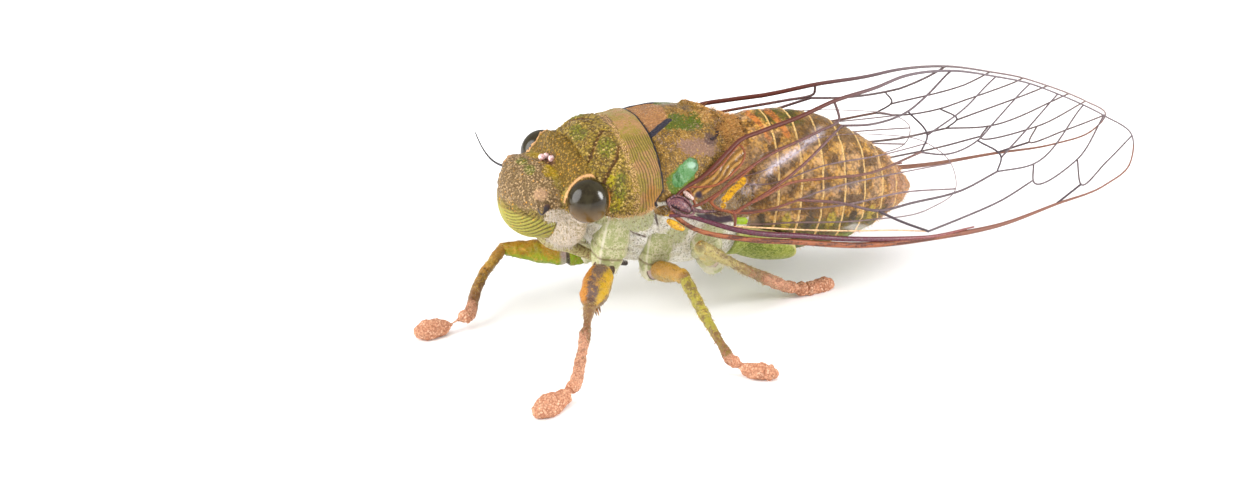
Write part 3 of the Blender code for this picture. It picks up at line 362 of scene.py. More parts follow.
def shell(rings, poles):
    """Points and faces of a closed skin: rings of equally many points with a fan at each end."""
    rows, sides, _ = rings.shape
    points = np.concatenate([rings.reshape(-1, 3), np.asarray(poles, float)])
    ring = np.arange(sides)
    after = (ring + 1) % sides
    top = np.stack([np.full(sides, rows * sides), after, ring], axis=1)
    last = (rows - 1) * sides
    bottom = np.stack([np.full(sides, rows * sides + 1), last + ring, last + after], axis=1)
    return points, [grid_faces(rows, sides), np.concatenate([top, bottom])]


def join(parts):
    """Several (points, faces) shapes as one, with the later ones renumbered."""
    points = []
    faces = []
    start = 0
    for shape_points, shape_faces in parts:
        points.append(shape_points)
        faces.extend(group + start for group in shape_faces)
        start += len(shape_points)
    return np.concatenate(points), faces


def path_axes(path):
    """Unit axes at each point of a path: along it, aside of it, and square to both."""
    forward = np.gradient(path, axis=0)
    forward /= np.linalg.norm(forward, axis=1)[:, None]
    reference = np.array([0.0, 0.0, 1.0]) if abs(forward[0][2]) < 0.9 else np.array([0.0, 1.0, 0.0])
    aside = np.cross(forward, reference)
    aside /= np.linalg.norm(aside, axis=1)[:, None]
    return forward, aside, np.cross(aside, forward)


def sweep(path, radii, sides):
    """Rings of a round profile carried along a path, and the two poles that close it. At both
    ends it is rounded by rings that shrink as a quarter circle."""
    path = np.asarray(path, float)
    radii = np.broadcast_to(np.asarray(radii, float), (len(path),))
    forward, aside, over = path_axes(path)
    turn = np.arange(sides) * 2 * math.pi / sides
    circle = np.cos(turn)[None, :, None] * aside[:, None, :] + np.sin(turn)[None, :, None] * over[:, None, :]
    rings = path[:, None, :] + radii[:, None, None] * circle
    caps = []
    for end, way in ((0, -1), (-1, 1)):
        caps.append([path[end] + way * forward[end] * radii[end] * math.sin(lean)
                     + radii[end] * math.cos(lean) * circle[end] for lean in CAP_ANGLES])
    poles = [path[0] - forward[0] * radii[0], path[-1] + forward[-1] * radii[-1]]
    return np.concatenate([np.array(caps[0][::-1]), rings, np.array(caps[1])]), np.array(poles)


def unit_rings(rows, sides):
    """Rings round X on a ball of radius 1: the cosine and sine of the lean from X, the latter
    shared out by the turn round it."""
    lean = np.linspace(0, math.pi, rows + 1)[1:-1]
    turn = np.arange(sides) * 2 * math.pi / sides
    lean, turn = np.meshgrid(lean, turn, indexing="ij")
    return np.stack([np.cos(lean), np.sin(lean) * np.cos(turn), np.sin(lean) * np.sin(turn)], axis=-1)


def ellipsoid(centre, half, rows, sides):
    """Rings and poles of an ellipsoid whose poles lie on X."""
    poles = np.array([[1.0, 0, 0], [-1.0, 0, 0]])
    centre = np.asarray(centre)
    half = np.asarray(half)
    return centre + half * unit_rings(rows, sides), centre + half * poles


def bristles(roots, directions, lengths, radius, droop):
    """Tapered three-sided hairs, all in one shape: each runs along its direction and sinks by
    droop times the square of its share."""
    roots = np.asarray(roots, float)
    directions = directions / np.linalg.norm(directions, axis=1)[:, None]
    aside = np.cross(directions, np.array([0.31, 0.17, 0.93]))
    aside /= np.linalg.norm(aside, axis=1)[:, None] + 1e-9
    over = np.cross(aside, directions)
    share = np.array([0.0, 0.35, 0.7, 1.0])
    width = radius * np.array([1.0, 0.85, 0.55, 0.1])
    turn = np.arange(3) * 2 * math.pi / 3
    middle = (roots[:, None, :] + directions[:, None, :] * (lengths[:, None] * share)[..., None]
              + np.array([0, 0, -1.0]) * (lengths[:, None] * droop * share**2)[..., None])
    circle = np.cos(turn)[:, None] * aside[:, None, :] + np.sin(turn)[:, None] * over[:, None, :]
    points = middle[:, :, None, :] + width[None, :, None, None] * circle[:, None, :, :]
    rows, sides = len(share), len(turn)
    body = grid_faces(rows, sides)
    base = np.arange(len(roots))[:, None, None] * rows * sides
    caps = np.array([[2, 1, 0], [rows * sides - 3, rows * sides - 2, rows * sides - 1]])
    return points.reshape(-1, 3), [(body + base).reshape(-1, 4), (caps + base).reshape(-1, 3)]


def add_piece(name, points, faces, finish, replaced=(), masks=None):
    """Object from points in metres and arrays of faces, turned outwards if its volume is
    negative, with one float attribute for each mask, riding on the animal's one body."""
    points = np.asarray(points, np.float64)
    triangles = np.concatenate([group if group.shape[1] == 3 else
                                np.concatenate([group[:, [0, 1, 2]], group[:, [0, 2, 3]]])
                                for group in faces])
    centred = points - points.mean(axis=0)
    a, b, c = (centred[triangles[:, corner]] for corner in range(3))
    if (np.cross(a, b) * c).sum() < 0:
        faces = [group[:, ::-1] for group in faces]
    mesh = bpy.data.meshes.new(name)
    mesh.vertices.add(len(points))
    mesh.vertices.foreach_set("co", points.astype(np.float32).ravel())
    corners = np.concatenate([group.ravel() for group in faces]).astype(np.int32)
    sizes = np.concatenate([np.full(len(group), group.shape[1]) for group in faces])
    mesh.loops.add(len(corners))
    mesh.loops.foreach_set("vertex_index", corners)
    mesh.polygons.add(len(sizes))
    mesh.polygons.foreach_set("loop_start", np.concatenate(([0], np.cumsum(sizes)[:-1])).astype(np.int32))
    mesh.update(calc_edges=True)
    for mask, values in (masks or {}).items():
        attribute = mesh.attributes.new(mask, "FLOAT", "POINT")
        attribute.data.foreach_set("value", np.asarray(values, np.float32).ravel())
    mesh.validate()
    mesh.shade_smooth()
    mesh.materials.append(finish)
    piece = bpy.data.objects.new(name, mesh)
    bpy.context.scene.collection.objects.link(piece)
    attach(piece, "root")
    if replaced:
        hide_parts(*replaced)
    return piece


def add_skin(node, rings, finish, masks):
    """Skin from closed rings, with a fan at both ends, that replaces one node."""
    points, faces = shell(rings, [rings[0].mean(axis=0), rings[-1].mean(axis=0)])
    masks = {name: with_poles(np.clip(values, 0, 1)) for name, values in masks.items()}
    add_piece(f"skin_{node}", place(points), faces, finish, [node], masks)


def along_mask(rings):
    """Mask that grows evenly from the first ring to the last one."""
    share = np.repeat(np.linspace(0, 1, len(rings)), rings.shape[1])
    return with_poles(share, (0.0, 1.0))


def with_poles(values, ends=(0.0, 0.0)):
    """Mask values of a grid followed by the values at its two poles."""
    return np.concatenate([np.asarray(values, float).ravel(), np.asarray(ends, float)])


class Value:
    """A shader socket that does arithmetic: each operator adds the Math node for it."""

    def __init__(self, tree, socket):
        self.tree = tree
        self.socket = socket

    def _math(self, operation, *terms):
        node = self.tree.nodes.new("ShaderNodeMath")
        node.operation = operation
        for slot, term in zip(node.inputs, terms):
            if isinstance(term, Value):
                self.tree.links.new(term.socket, slot)
            else:
                slot.default_value = term
        return Value(self.tree, node.outputs[0])

    def __add__(self, other):
        return self._math("ADD", self, other)

    def __sub__(self, other):
        return self._math("SUBTRACT", self, other)

    def __rsub__(self, other):
        return self._math("SUBTRACT", other, self)

    def __mul__(self, other):
        return self._math("MULTIPLY", self, other)

    __radd__ = __add__
    __rmul__ = __mul__

    def smooth(self, start, end):
        """Smoothstep of the value between start and end."""
        node = self.tree.nodes.new("ShaderNodeMapRange")
        node.interpolation_type = "SMOOTHSTEP"
        node.inputs["From Min"].default_value = start
        node.inputs["From Max"].default_value = end
        self.tree.links.new(self.socket, node.inputs["Value"])
        return Value(self.tree, node.outputs["Result"])

    def clamped(self):
        """The value held between 0 and 1."""
        node = self.tree.nodes.new("ShaderNodeClamp")
        self.tree.links.new(self.socket, node.inputs["Value"])
        return Value(self.tree, node.outputs["Result"])


class Finish:
    """A material in the making. Patterns read the body frame in millimetres."""

    def __init__(self, name, grain=0.16):
        self.material = bpy.data.materials.new(name)
        self.material.use_nodes = True
        self.tree = self.material.node_tree
        self.shader = self.tree.nodes["Principled BSDF"]
        coordinates = self.node("ShaderNodeTexCoord")
        turn = Matrix.Rotation(PITCH, 3, "X")
        offset = turn @ Vector(-(SHIFT + np.array([0.0, 0.0, LIFT])))
        mapping = self.node("ShaderNodeMapping", Vector=coordinates.outputs["Object"],
                            Location=tuple(offset),
                            Rotation=(PITCH, 0.0, 0.0), Scale=(1 / MM,) * 3)
        self.here = mapping.outputs["Vector"]
        self.coarse = self.noise(grain * 6, 3.0)
        self.fine = self.noise(grain, 4.0, 0.65)
        self.tiny = self.noise(grain * 0.45, 2.0, 0.5)

    def node(self, kind, settings=None, **inputs):
        """Adds a node, sets its settings, then sets or links its sockets by name."""
        made = self.tree.nodes.new(kind)
        for setting, value in (settings or {}).items():
            setattr(made, setting, value)
        for socket_name, value in inputs.items():
            self.feed(made.inputs[socket_name.replace("_", " ")], value)
        return made

    def feed(self, socket, value):
        """Links a socket or Value to a socket, or sets the plain value on it."""
        if isinstance(value, Value):
            value = value.socket
        if isinstance(value, bpy.types.NodeSocket):
            self.tree.links.new(value, socket)
        else:
            socket.default_value = value

    def mask(self, name):
        """A float attribute of the mesh."""
        return Value(self.tree, self.node("ShaderNodeAttribute", {"attribute_name": name}).outputs["Fac"])

    def noise(self, size, detail=3.0, roughness=0.55, stretch=None):
        """Noise from 0 to 1 with grains of the given size in millimetres, stretched if asked."""
        where = self.here
        if stretch:
            where = self.node("ShaderNodeMapping", Vector=where, Scale=stretch).outputs["Vector"]
        made = self.node("ShaderNodeTexNoise", Vector=where, Scale=1.0 / size, Detail=detail,
                         Roughness=roughness)
        return Value(self.tree, made.outputs["Fac"])

    def cells(self, size, feature="F1"):
        """Distance to the nearest of scattered points, about a size apart."""
        made = self.node("ShaderNodeTexVoronoi", {"feature": feature}, Vector=self.here, Scale=1.0 / size)
        return Value(self.tree, made.outputs["Distance"])

    def flakes(self, size):
        """Scattered flakes about a size across: how far each place is from its flake's middle,
        and a number from 0 to 1 that differs from flake to flake."""
        bend = self.node("ShaderNodeTexNoise", Vector=self.here, Scale=2.2 / size,
                         Detail=2.0).outputs["Color"]
        where = self.node("ShaderNodeVectorMath", {"operation": "MULTIPLY_ADD"})
        self.feed(where.inputs[0], bend)
        where.inputs[1].default_value = (size * 0.9,) * 3
        self.feed(where.inputs[2], self.here)
        made = self.node("ShaderNodeTexVoronoi", None, Vector=where.outputs["Vector"], Scale=1.0 / size)
        pick = self.node("ShaderNodeSeparateColor", None, Color=made.outputs["Color"]).outputs["Red"]
        return Value(self.tree, made.outputs["Distance"]), Value(self.tree, pick)

    def blend(self, under, over, amount):
        """Colour mixed from under to over by an amount from 0 to 1. Tuples are screen colours."""
        made = self.tree.nodes.new("ShaderNodeMix")
        made.data_type = "RGBA"
        made.clamp_factor = True
        self.feed(made.inputs[0], amount)
        for socket, colour in ((made.inputs[6], under), (made.inputs[7], over)):
            self.feed(socket, (*srgb(*colour), 1.0) if isinstance(colour, tuple) else colour)
        return made.outputs[2]

    def lay(self, tint, amount):
        """Lays a tint over the finish's colour by an amount from 0 to 1."""
        self.colour = self.blend(self.colour, tint, amount)

    def broken(self, area, ragged):
        """Mask whose edge the grain breaks up."""
        value = self.mask(area) + (self.fine - 0.5) * (1.5 * ragged) + (self.coarse - 0.5) * (1.2 * ragged)
        return value.smooth(0.32, 0.68)

    def paint(self, *layers):
        """Lays tints over areas. Each layer is (mask, screen colour, raggedness, strength)."""
        for area, tint, ragged, strength in layers:
            self.lay(tint, self.broken(area, ragged) * strength)

    def frayed(self, area, amount):
        """Mask plus an amount of the fine grain, centred on 0."""
        return self.mask(area) + (self.fine - 0.5) * amount

    def shine(self, span, lowest):
        """Roughness that follows the fine grain, from the lowest value up over a span."""
        return self.fine.smooth(0.35, 0.65) * span + lowest

    def mottled(self, dark, middle, light):
        """Shell ground: dark blotches and light dust on a middle colour."""
        colour = self.blend(middle, dark, (self.coarse * 0.55 + self.fine * 0.45).smooth(0.47, 0.57))
        return self.blend(colour, light, (self.fine * -0.6 + self.tiny * 0.6 + 0.5).smooth(0.5, 0.64) * 0.85)

    def bump(self, height, distance, strength=1.0):
        """Bump normal for a height in units of distance, in millimetres."""
        made = self.node("ShaderNodeBump", Height=height, Distance=distance * MM, Strength=strength)
        return made.outputs["Normal"]

    def surface(self, **inputs):
        """Gives the surface shader the colour and the sockets named, and returns the material."""
        self.feed(self.shader.inputs["Base Color"], self.colour)
        for socket_name, value in inputs.items():
            self.feed(self.shader.inputs[socket_name.replace("_", " ")], value)
        return self.material


def srgb(red, green, blue):
    """Screen colour from 0 to 255 as linear light: ((c + 0.055) / 1.055)^2.4."""
    return tuple(c / 255 / 12.92 if c < 10 else ((c / 255 + 0.055) / 1.055) ** 2.4
                 for c in (red, green, blue))


def chitin(name, dark, middle, light, layers=(), grain=0.16, roughness=(0.32, 0.6), relief=0.05):
    """Insect shell: three colours mottled at two scales, painted layers with ragged edges, and
    a fine pitted grain."""
    finish = Finish(name, grain)
    finish.colour = finish.mottled(dark, middle, light)
    finish.paint(*layers)
    shine = finish.fine.smooth(0.3, 0.7) * (roughness[1] - roughness[0]) + roughness[0]
    height = finish.cells(grain * 1.1).smooth(0.0, 0.6) * 0.6 + finish.fine
    return finish.surface(Roughness=shine, Normal=finish.bump(height, relief, 0.6), Specular_IOR_Level=0.45)


def settings():
    """The scene's sizes and colours."""
    return bpy.context.scene.cicada


def chosen(name):
    """Colour of a setting, with the alpha that a socket needs."""
    return [*getattr(settings(), name), 1.0]


class CicadaSettings(bpy.types.PropertyGroup):
    """Sizes and colours of the cicada that a user would change."""

    detail: FloatProperty(
        name="Detail", description="Share of the full number of rows on each surface",
        default=1.0, min=0.2, max=1.5)
    vein_thickness: FloatProperty(
        name="Vein Thickness", description="Thickness of the wing veins against the measured one",
        default=1.0, min=0.3, max=2.0)
    hair_share: FloatProperty(
        name="Hair Share", description="Number of hairs against the full coat",
        default=1.0, min=0.05, max=2.0)
    film_opacity: FloatProperty(
        name="Film Opacity", description="How much the wing film hides what is behind it",
        default=0.035, min=0.0, max=1.0, subtype="FACTOR")
    eye_colour: FloatVectorProperty(
        name="Eye Colour", description="Colour deep in the large eyes", subtype="COLOR", size=3,
        default=srgb(48, 42, 24), min=0.0, max=1.0)
    shell_colour: FloatVectorProperty(
        name="Shell Colour", description="Main olive colour of the head and thorax", subtype="COLOR", size=3,
        default=srgb(128, 112, 44), min=0.0, max=1.0)
    mud_colour: FloatVectorProperty(
        name="Mud Colour", description="Colour of the dried mud on the feet", subtype="COLOR", size=3,
        default=srgb(206, 152, 120), min=0.0, max=1.0)


def rows_of(count):
    """Number of rows or sides for the chosen detail."""
    return max(12, int(count * settings().detail))


def mass_reach(directions):
    """Distance from the head's centre to where each ray leaves each of the rounded masses."""
    reach = []
    for centre, half in HEAD_MASSES.values():
        half = np.asarray(half)
        offset = (np.asarray(HEAD_CENTRE) - np.asarray(centre)) / half
        ray = directions / half
        a = (ray**2).sum(axis=-1)
        b = (ray * offset).sum(axis=-1)
        c = (offset**2).sum() - 1.0
        reach.append((-b + np.sqrt(b * b - a * c)) / a)
    return np.array(reach)


HEAD_YELLOW = ((1.75, -6.9, 2.0), (0.95, 0.5, 0.6))
HEAD_GREEN = ((0.9, -8.1, 1.85), (0.75, 0.4, 0.5))
FEELER_SLIT = ((4.0, -7.35, 0.3), (3.6, -7.85, 0.02), (3.2, -8.25, -0.25))
FEELER_LEDGE = ((3.35, -8.05, 0.95), (0.55, 0.5, 0.5))
GROOVE_SPACING = 0.28


def head_piece():
    """Head capsule: along each direction from the centre, the soft maximum of the distances at
    which the ray leaves the rounded masses, with grooves, ledges and grain laid on."""
    sides = rows_of(340)
    poles = [np.broadcast_to([way, 0.0, 0.0], (1, sides, 3)) for way in (1.0, -1.0)]
    unit = np.concatenate([unit_rings(rows_of(230), sides), *poles])
    reach = mass_reach(unit)
    distance = (reach**HEAD_SHARPNESS).sum(axis=0) ** (1.0 / HEAD_SHARPNESS)
    distance = np.minimum(distance, (HEAD_REAR - HEAD_CENTRE[1]) / np.maximum(unit[..., 1], 1e-6))
    points = np.asarray(HEAD_CENTRE) + distance[..., None] * unit
    here = folded(points)
    x, y, z = np.moveaxis(here, -1, 0)
    snout_lead = reach[3] - np.delete(reach, 3, axis=0).max(axis=0)
    snout = smoothstep(-0.02, 0.25, snout_lead)
    seam = bell(snout_lead - 0.02, 0.06)
    low = smoothstep(0.5, -0.9, z)
    ridge_phase = (z - 0.3 * np.clip(x - 1.4, 0, 3) ** 2 - 0.25 * (y + 8.0)) / GROOVE_SPACING
    ridges = 0.5 + 0.5 * np.cos(2 * math.pi * ridge_phase + 0.8 * lattice_noise(here, 0.9, 6))
    face = np.maximum(snout, smoothstep(-7.1, -7.7, y) * smoothstep(0.2, -0.4, z))
    ridges = ridges * face * smoothstep(0.35, 0.8, x)
    midline = bell(x, 0.12) * snout * smoothstep(1.2, 0.2, z)
    slit = near(here, FEELER_SLIT, 0.2)
    ledge = blob(here, *FEELER_LEDGE, 0.7)
    crown_line = bell(x, 0.09) * smoothstep(-6.1, -5.6, y) * (z > 0)
    eye_gap = np.linalg.norm((here - np.asarray(EYE_CENTRE)) / np.asarray(EYE_HALF), axis=-1)
    eye_rim = bell(eye_gap - 1.12, 0.1) * smoothstep(-0.4, 0.4, z + 0.3 * (y + 5.2))
    speckle = smoothstep(-1.0, 0.2, z) * smoothstep(-6.4, -7.4, y)
    cheek_top = z + 0.2 * rough_noise(here, 0.6, 5, 3)
    cheek_front = y + 0.25 * rough_noise(here, 0.5, 8, 3)
    cheek = smoothstep(0.0, -0.7, cheek_top) * smoothstep(0.06, -0.16, snout_lead)
    cheek = cheek * smoothstep(-7.9, -7.2, cheek_front)
    cheek = np.maximum(cheek, blob(here, (3.95, -6.9, -0.35), (0.5, 0.9, 0.6), 0.4))
    grain = rough_noise(points, 0.32, 3, 3)
    pimples = np.maximum(rough_noise(points, 0.2, 13, 2), 0)
    upper = smoothstep(-0.7, 0.4, z)
    height = (-0.08 * seam - 0.075 * ridges * (0.15 + 0.85 * low) - 0.05 * midline - 0.34 * slit
              + 0.22 * ledge - 0.07 * crown_line + 0.24 * eye_rim * (1 + 0.6 * pimples)
              + upper * (0.055 * grain + 0.09 * pimples) + 0.012 * grain
              + 0.06 * rough_noise(points, 1.0, 9, 2) * upper)
    height *= smoothstep(HEAD_REAR, HEAD_REAR - 0.5, y)
    points = np.asarray(HEAD_CENTRE) + (distance + height)[..., None] * unit
    ends = points[-2:, 0]
    masks = {
        "groove": np.clip(ridges * low, 0, 1),
        "pit": np.maximum(slit, seam * 0.3),
        "speckle": speckle,
        "crown": smoothstep(-6.75, -6.1, y) * smoothstep(0.9, 1.9, z),
        "plum": blob(here, (0.0, -6.5, 2.4), (1.1, 0.45, 0.6), 0.5),
        "yellow": blob(here, *HEAD_YELLOW, 0.5),
        "green": blob(here, *HEAD_GREEN, 0.5),
        "lime": smoothstep(-0.5, -1.7, z) * face,
        "wax": cheek,
        "rim": eye_rim,
        "ledge": ledge,
    }
    rings, faces = shell(points[:-2], ends)
    masks = {name: with_poles(values[:-2], values[-2:, 0]) for name, values in masks.items()}
    add_piece("skin_head", place(rings), faces, head_finish(), ["head"], masks)
    grid = points[:-2]
    wax_hair = hair_finish("face_hair_finish", (214, 204, 190), (240, 234, 226))
    hairs("hair_cheeks", grid, cheek[:-2] * smoothstep(-4.9, -5.4, y[:-2]), 1100, 0.34, (0.0, 0.5, -0.9),
          wax_hair, 11)


def head_finish():
    """Face of the cicada: olive shell under a tan and brown speckle, with yellow and green
    patches, dark grooves and pale wax on the cheeks. Light specks and sparks on its raised
    granules are painted highlights, and the dark in the gaps between them is painted shade."""
    finish = Finish("face_shell", 0.14)
    fine, tiny = finish.fine, finish.tiny
    apart, pick = finish.flakes(0.17)
    raised = (0.62 - apart).smooth(0.05, 0.3)
    shell_colour = chosen("shell_colour")
    finish.colour = finish.mottled((76, 60, 14), shell_colour, (170, 142, 58))
    finish.paint(("lime", (158, 152, 62), 0.6, 0.9),
                 ("speckle", (138, 112, 76), 1.0, 0.9),
                 ("crown", (114, 88, 16), 0.9, 0.9),
                 ("plum", (92, 58, 44), 1.0, 0.85),
                 ("green", (104, 116, 30), 1.2, 0.85),
                 ("yellow", (168, 138, 16), 1.3, 0.9))
    rough_area = (finish.mask("speckle") + finish.mask("crown") * 0.75 + 0.12).clamped()
    # Painted shade: dark brown in the gaps between the raised granules.
    painted_gap_shade = (apart.smooth(0.36, 0.62) * 0.8 + (fine - 0.5) * 1.2).smooth(0.3, 0.7) * rough_area
    finish.lay((66, 44, 20), painted_gap_shade * 0.6)
    # Painted highlights: tan and gold specks on the tops of the raised granules.
    painted_glint = pick.smooth(0.4, 0.62) * raised * (tiny * 0.8 + fine * 0.5 - 0.05).smooth(0.45, 0.68)
    glint_tint = finish.blend((228, 190, 142), (206, 160, 74), finish.mask("crown"))
    finish.lay(glint_tint, painted_glint * rough_area * 0.7)
    # Painted highlights: orange sparks on a few raised granules.
    spark = (1.0 - pick).smooth(0.9, 0.97) * raised
    finish.lay((226, 156, 50), spark * 0.6)
    finish.lay((84, 66, 28), finish.frayed("groove", 0.9).smooth(0.5, 0.95) * 0.8)
    finish.lay((44, 28, 26), finish.frayed("pit", 0.4).smooth(0.35, 0.8) * 0.9)
    rim = (finish.mask("rim") + (tiny - 0.5) * 1.4).smooth(0.45, 0.85)
    finish.lay((224, 170, 116), rim * 0.85)
    rosy = (finish.frayed("ledge", 1.6) + (tiny - 0.5) * 1.2).smooth(0.35, 0.85)
    finish.lay((204, 160, 124), rosy * 0.5)
    stroke = finish.noise(0.12, 3.0, 0.6, (1.0, 0.35, 0.6))
    wax = (finish.frayed("wax", 1.1) + (tiny - 0.5) * 0.6).smooth(0.3, 0.75)
    pale = finish.blend((150, 134, 100), (214, 198, 180), (stroke * 0.7 + tiny * 0.3).smooth(0.42, 0.56))
    pale = finish.blend(pale, (118, 98, 66), (stroke * 0.6 + fine * 0.4).smooth(0.55, 0.65) * 0.75)
    finish.lay(pale, wax * 0.95)
    shine = finish.shine(0.25, 0.32) + wax * 0.3
    height = (raised * 0.9 + pick * 0.5) * rough_area + fine * 1.2 + tiny * 0.6
    normal = finish.bump(height, 0.06, 0.85)
    return finish.surface(Roughness=shine, Normal=normal, Specular_IOR_Level=0.26)


def eye_finish():
    """Glossy deep eye with faint darker clouding, an amber lower half that is a painted
    reflection of the floor, and an orange glow along its rear."""
    finish = Finish("eye_gloss_finish")
    cloud = finish.noise(0.9, 2.0)
    facets = finish.cells(0.035)
    finish.colour = finish.blend(chosen("eye_colour"), (32, 24, 6), cloud.smooth(0.35, 0.65))
    # Painted reflection of the floor: the eye's lower half lightened to amber.
    finish.lay((106, 78, 38), finish.mask("low") * 0.85)
    finish.lay((196, 118, 54), finish.mask("glow"))
    normal = finish.bump(facets, 0.002, 0.2)
    return finish.surface(Roughness=cloud * 0.06 + 0.14, Normal=normal, Specular_IOR_Level=0.4)


def eye_pieces():
    """Large eyes as ellipsoids, and the three small eyes on the crown as one piece."""
    gloss = eye_finish()
    for side, word in SIDES:
        rings, poles = ellipsoid(mirrored(EYE_CENTRE, side), EYE_HALF, rows_of(70), rows_of(110))
        points, faces = shell(rings, poles)
        y = (points[:, 1] - EYE_CENTRE[1]) / EYE_HALF[1]
        z = (points[:, 2] - EYE_CENTRE[2]) / EYE_HALF[2]
        # low marks the eye's lower half, where the floor's reflection is painted.
        masks = {"low": smoothstep(0.25, -0.75, z),
                 "glow": smoothstep(0.7, 0.92, y) * smoothstep(0.9, 0.3, z)}
        add_piece(f"gloss_eye_{word}", place(points), faces, gloss, [f"eye_{word}"], masks)
    small = join([shell(*ellipsoid(centre, (OCELLUS_RADIUS,) * 3, 20, 28)) for centre in OCELLI])
    finish = Finish("small_eye_finish")
    # Pale pinkish-white: partly the small eyes' own colour, partly a painted highlight.
    finish.colour = finish.blend((240, 212, 210), (196, 140, 138), finish.noise(0.2).smooth(0.4, 0.6))
    pearl = finish.surface(Roughness=0.12, Coat_Weight=1.0, Specular_IOR_Level=0.9)
    add_piece("gloss_small_eyes", place(small[0]), small[1], pearl)


def feeler_path(side, share):
    """Points of an antenna at shares of its length: straight outwards, sagging as a sine and
    rising at its tip as the cube of the share."""
    reach = mirrored(ANTENNA_REACH[side], side)
    base = mirrored(ANTENNA_BASE, side)
    path = base + np.stack([share, share, np.clip(share, 0, 1) ** 3], axis=1) * reach
    path[:, 2] -= ANTENNA_SAG * np.sin(np.clip(share, 0, 1) * math.pi)
    return path


def feeler_pieces():
    """Antennae: two thick base joints, then a lash that tapers to a hair."""
    finish = Finish("feeler_finish")
    along = finish.mask("along")
    finish.colour = finish.blend((112, 78, 62), (44, 38, 40), along.smooth(0.1, 0.35))
    dark = finish.surface(Roughness=finish.noise(0.1) * 0.2 + 0.35)
    for side, word in SIDES:
        share = np.linspace(-0.12, 1.0, 80)
        width = np.interp(share, [-0.12, 0.0, 0.06, 0.1, 0.12, 0.2, 0.26, 0.3, 0.36, 1.0],
                          [0.26, 0.3, 0.27, 0.2, 0.22, 0.2, 0.14, 0.1, 0.085, 0.04])
        rings, poles = sweep(feeler_path(side, share), width, 14)
        points, faces = shell(rings, poles)
        add_piece(f"lash_{word}", place(points), faces, dark, [f"antenna_{word}"],
                  {"along": along_mask(rings)})


def beak_piece():
    """Sucking beak under the head: a tube with a groove down its front and a dark tip."""
    path = curve_through(BEAK_LINE, 0.12)
    share = np.linspace(0, 1, len(path))
    width = np.interp(share, [0, 0.15, 0.35, 0.6, 0.85, 1.0], [0.95, 0.85, 0.5, 0.4, 0.32, 0.2])
    rings, poles = sweep(path, width, 28)
    turn = np.linspace(0, 2 * math.pi, 28, endpoint=False)
    middle = rings.mean(axis=1, keepdims=True)
    rings = middle + (rings - middle) * (1 - 0.12 * bell(turn - 1.5 * math.pi, 0.35))[None, :, None]
    points, faces = shell(rings, poles)
    finish = Finish("beak_finish")
    along = finish.mask("along")
    fine = finish.noise(0.15, 3.0)
    finish.colour = finish.blend((176, 166, 104), (120, 92, 52), fine.smooth(0.4, 0.65))
    finish.lay((48, 34, 28), along.smooth(0.55, 0.85))
    horn = finish.surface(Roughness=fine * 0.3 + 0.3, Normal=finish.bump(fine, 0.03))
    add_piece("horn_beak", place(points), faces, horn, ["beak"], {"along": along_mask(rings)})


def trunk_rings(stations, outline, at, upper, lower):
    """Rings across the body: half an ellipse over the back, its cosine and sine raised to the
    shoulder power, down to a lip, and under it a squarish half ellipse for flanks and belly."""
    values = (follow(stations, values, at)[:, None] for values in outline)
    half_width, top, level, flank, bottom, shoulder = values
    over = np.linspace(0, math.pi, upper)
    under = np.linspace(math.pi, 2 * math.pi, lower + 2)[1:-1]
    y_over = np.broadcast_to(at[:, None], (len(at), upper))
    y_under = np.broadcast_to(at[:, None], (len(at), lower))
    wide = np.sign(np.cos(over)) * np.abs(np.cos(over)) ** shoulder
    back = np.stack([half_width * wide, y_over, level + (top - level) * np.sin(over) ** shoulder], axis=-1)
    beneath = level - LIP_DEPTH
    squared = np.sign(np.cos(under)) * np.abs(np.cos(under)) ** 0.8
    belly = np.stack([flank * squared, y_under, beneath + (beneath - bottom) * np.sin(under)], axis=-1)
    return np.concatenate([back, belly], axis=1)


def domed_front(rings, depth, rows):
    """Rings that close the front of a skin as a low dome: each is the first ring drawn towards
    its middle and forwards, along a quarter ellipse of the given depth."""
    middle = rings[0].mean(axis=0)
    lean = np.linspace(0, math.pi / 2, rows + 1)[1:, None, None]
    dome = middle + (rings[0] - middle) * (1 - 0.5 * (1 - np.cos(lean)))
    dome = dome - np.array([0.0, depth, 0.0]) * np.sin(lean)
    return np.concatenate([dome[::-1], rings])


HAIR_PATCH = 0.003


def hairs(name, rings, density, count, length, lie, finish, seed, width=0.012, settle=place):
    """Fine hairs on a grid skin: roots drawn at random by density, each leaning from the skin's
    normal along lie, with every hair's map laid in a small patch at its root's place."""
    draw = np.random.default_rng(seed)
    rows, sides, _ = rings.shape
    area = (np.linalg.norm(np.gradient(rings, axis=0), axis=-1)
            * np.linalg.norm(np.gradient(rings, axis=1), axis=-1))
    weight = np.clip(np.broadcast_to(density, (rows, sides)), 0, None) * area
    count = int(count * settings().hair_share)
    picked = draw.choice(rows * sides, count, p=(weight / weight.sum()).ravel())
    straight = grid_normals(rings).reshape(-1, 3)[picked]
    roots = rings.reshape(-1, 3)[picked] + draw.normal(0, 0.02, (count, 3)) - straight * 0.05
    directions = straight + np.asarray(lie) + draw.normal(0, 0.28, (count, 3))
    lengths = length * draw.uniform(0.55, 1.25, count)
    shape, faces = bristles(roots, directions, lengths, width, 0.18)
    per_hair = len(shape) // count
    centre = np.stack([0.01 + 0.98 * (picked % sides) / sides, 0.01 + 0.98 * (picked // sides) / rows],
                      axis=1)
    share = np.tile(np.linspace(0, 1, per_hair), count)
    around = np.tile(np.arange(per_hair) % 3 / 2.0, count)
    patch = np.repeat(centre, per_hair, axis=0) + HAIR_PATCH * (np.stack([around, share], axis=1) - 0.5)
    masks = {"along": share, "shade": np.repeat(draw.uniform(0, 1, count), per_hair)}
    piece = add_piece(name, settle(shape), faces, finish, (), masks)
    layer = piece.data.uv_layers.new(name="OFBake")
    corner = np.empty(len(piece.data.loops), np.int32)
    piece.data.loops.foreach_get("vertex_index", corner)
    layer.data.foreach_set("uv", patch[corner].astype(np.float32).ravel())


